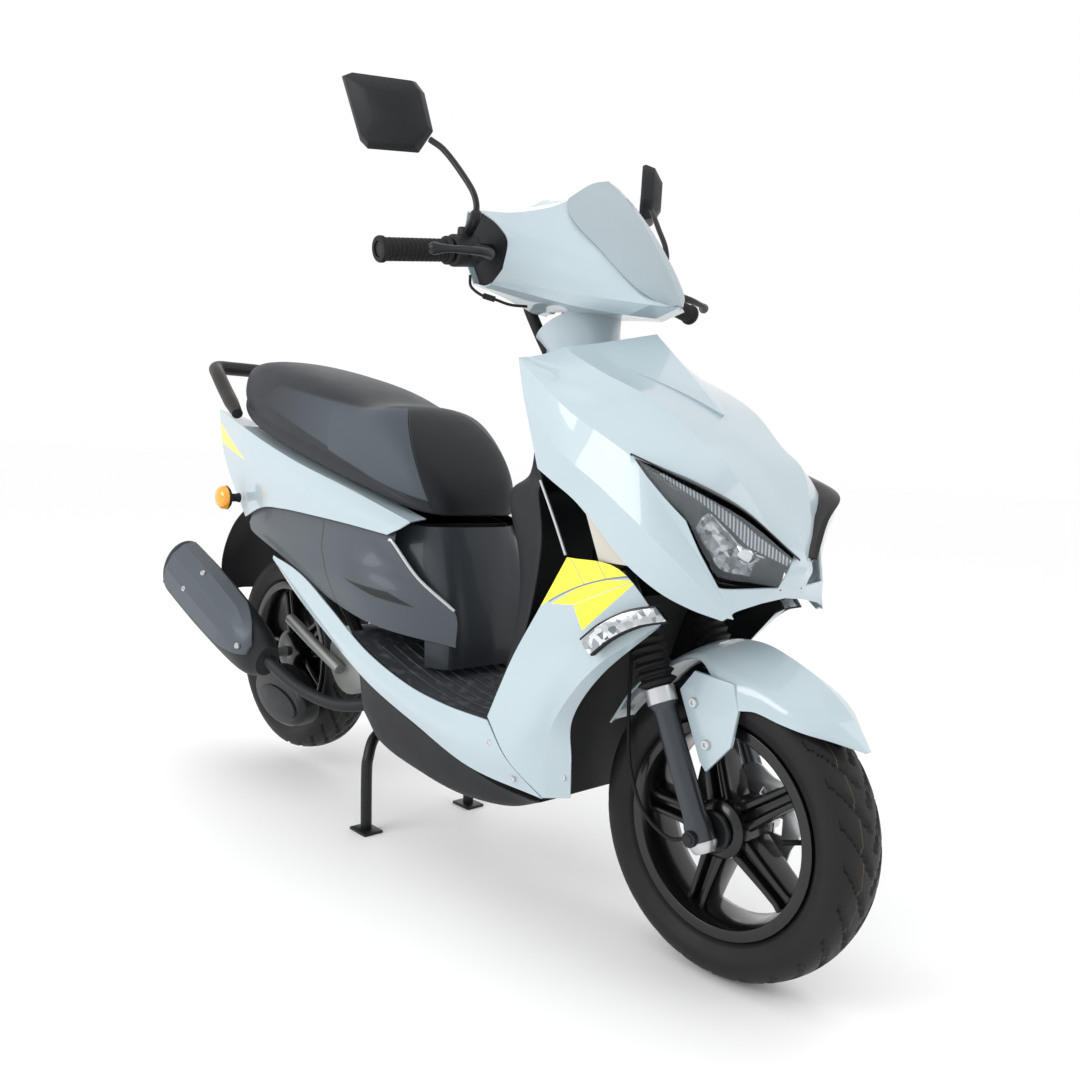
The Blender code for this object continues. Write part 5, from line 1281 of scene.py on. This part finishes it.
def shock():
    """Damper, rod and a coil round them."""
    polished("shock_body", "satin_black", "shock_upper")
    polished("shock_rod", "steel", "shock_lower")
    down = (SHOCK_LOW - SHOCK_TOP).normalized()
    length = (SHOCK_LOW - SHOCK_TOP).length
    across = down.cross(Vector((0, 1, 0))).normalized()
    low = 0.0252
    high = length - 0.0432
    points = []
    last = SPRING_TURNS * SPRING_STEPS
    for step in range(last + 1):
        angle = 2 * pi * step / SPRING_STEPS
        offset = across * cos(angle) + Vector((0, 1, 0)) * sin(angle)
        points.append(SHOCK_TOP + down * (low + (high - low) * step / last) + offset * 0.0285)
    coil = piece("shock_spring_look", tube(points, 0.004, 10), "gloss_black", "shock_upper", "shock_spring")
    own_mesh(coil)


def centre_stand():
    """Bent stand tube with its two foot plates."""
    foot = STAND_FOOT
    right = [(foot.x, -foot.y, 0.004), (foot.x - 0.004, -foot.y, 0.120), (foot.x - 0.008, -0.122, 0.150),
             (foot.x - 0.020, -0.105, 0.176), (STAND_PIVOT.x + 0.006, -0.080, 0.190),
             (STAND_PIVOT.x, -0.062, STAND_PIVOT.z), (STAND_PIVOT.x, -0.020, STAND_PIVOT.z)]
    path = spline(right + flipped(right), 5)
    stand = [tube(path, 0.011, 20)]
    stand += [block((0.055, 0.042, 0.006), (foot.x, side * foot.y, 0.003)) for side in (-1, 1)]
    piece("centre_stand_look", joined(*stand), "satin_black", "stand", "centre_stand", bevel=0.0015)


def floor_and_light():
    """Pale floor, white surroundings and soft boxes."""
    material("studio_floor", colour(254, 254, 254), 0.6, spread=0.002, wear=0.02)
    floor = bmesh.new()
    bmesh.ops.create_grid(floor, x_segments=1, y_segments=1, size=40)
    stage = raw("studio_floor", floor, "studio_floor")
    world = bpy.data.worlds.new("studio")
    world.use_nodes = True
    world.node_tree.nodes["Background"].inputs[0].default_value = (1, 1, 1, 1)
    world.node_tree.nodes["Background"].inputs[1].default_value = 1.0
    bpy.context.scene.world = world
    for name, at, aim, size, power in (
        ("top", (0.4, -0.3, 3.2), (0, 0, 0.5), (3.4, 2.2), 10),
        ("side", (-0.6, -3.0, 2.0), (0, 0, 0.6), (2.2, 1.4), 46),
        ("front", (3.6, 1.2, 1.9), (0.2, 0, 0.6), (1.6, 2.2), 18),
        ("back", (-2.8, 2.2, 2.4), (0, 0, 0.6), (2.0, 2.0), 8),
    ):
        lamp = bpy.data.lights.new(name, "AREA")
        lamp.shape = "RECTANGLE"
        lamp.size, lamp.size_y = size
        lamp.energy = power
        holder = bpy.data.objects.new(name, lamp)
        bpy.context.scene.collection.objects.link(holder)
        holder.location = at
        holder.rotation_euler = (Vector(aim) - Vector(at)).to_track_quat("-Z", "Y").to_euler()


def photo_camera():
    """Camera at the photograph's place, fitted to the wheels and the body."""
    yaw = radians(135.18)
    pitch = radians(-7.77)
    roll = radians(3.22)
    ahead = Vector((cos(pitch) * cos(yaw), cos(pitch) * sin(yaw), sin(pitch)))
    level = ahead.cross(Vector((0, 0, 1))).normalized()
    upright = level.cross(ahead)
    right = level * cos(roll) + upright * sin(roll)
    up = upright * cos(roll) - level * sin(roll)
    data = bpy.data.cameras.new("photo")
    data.lens = 33.696
    data.sensor_width = 36
    data.shift_x = -0.0343
    data.shift_y = 0.0473
    data.clip_start = 0.05
    camera = bpy.data.objects.new("photo", data)
    bpy.context.scene.collection.objects.link(camera)
    camera.matrix_world = Matrix((right, up, -ahead)).transposed().to_4x4()
    camera.location = (1.5224, -1.2020, 0.7640)
    bpy.context.scene.camera = camera
    bpy.context.scene.view_settings.view_transform = "Standard"


def shown_frame():
    """Finishes for the CAD nodes that stay in view."""
    for node, look in (("frame", "satin_black"), ("storage_box", "plastic")):
        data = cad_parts[node].data
        data.materials.clear()
        data.materials.append(LOOKS[look])


WHEELS = (("front", FRONT_AXLE, 0.046, 0.045), ("rear", REAR_AXLE, 0.052, 0.050))
for prefix, axle, hub_radius, hub_half in WHEELS:
    tyre(prefix, axle, prefix + "_wheel")
    rim(prefix, axle, prefix + "_wheel", hub_radius, hub_half)
brake_parts()
fork()
fender()
speedo_cable()
fairing()
body_panels()
trims()
tail_end()
seat()
headset()
headset_trim()
controls()
swing_unit()
shock()
centre_stand()
shown_frame()
floor_and_light()
photo_camera()
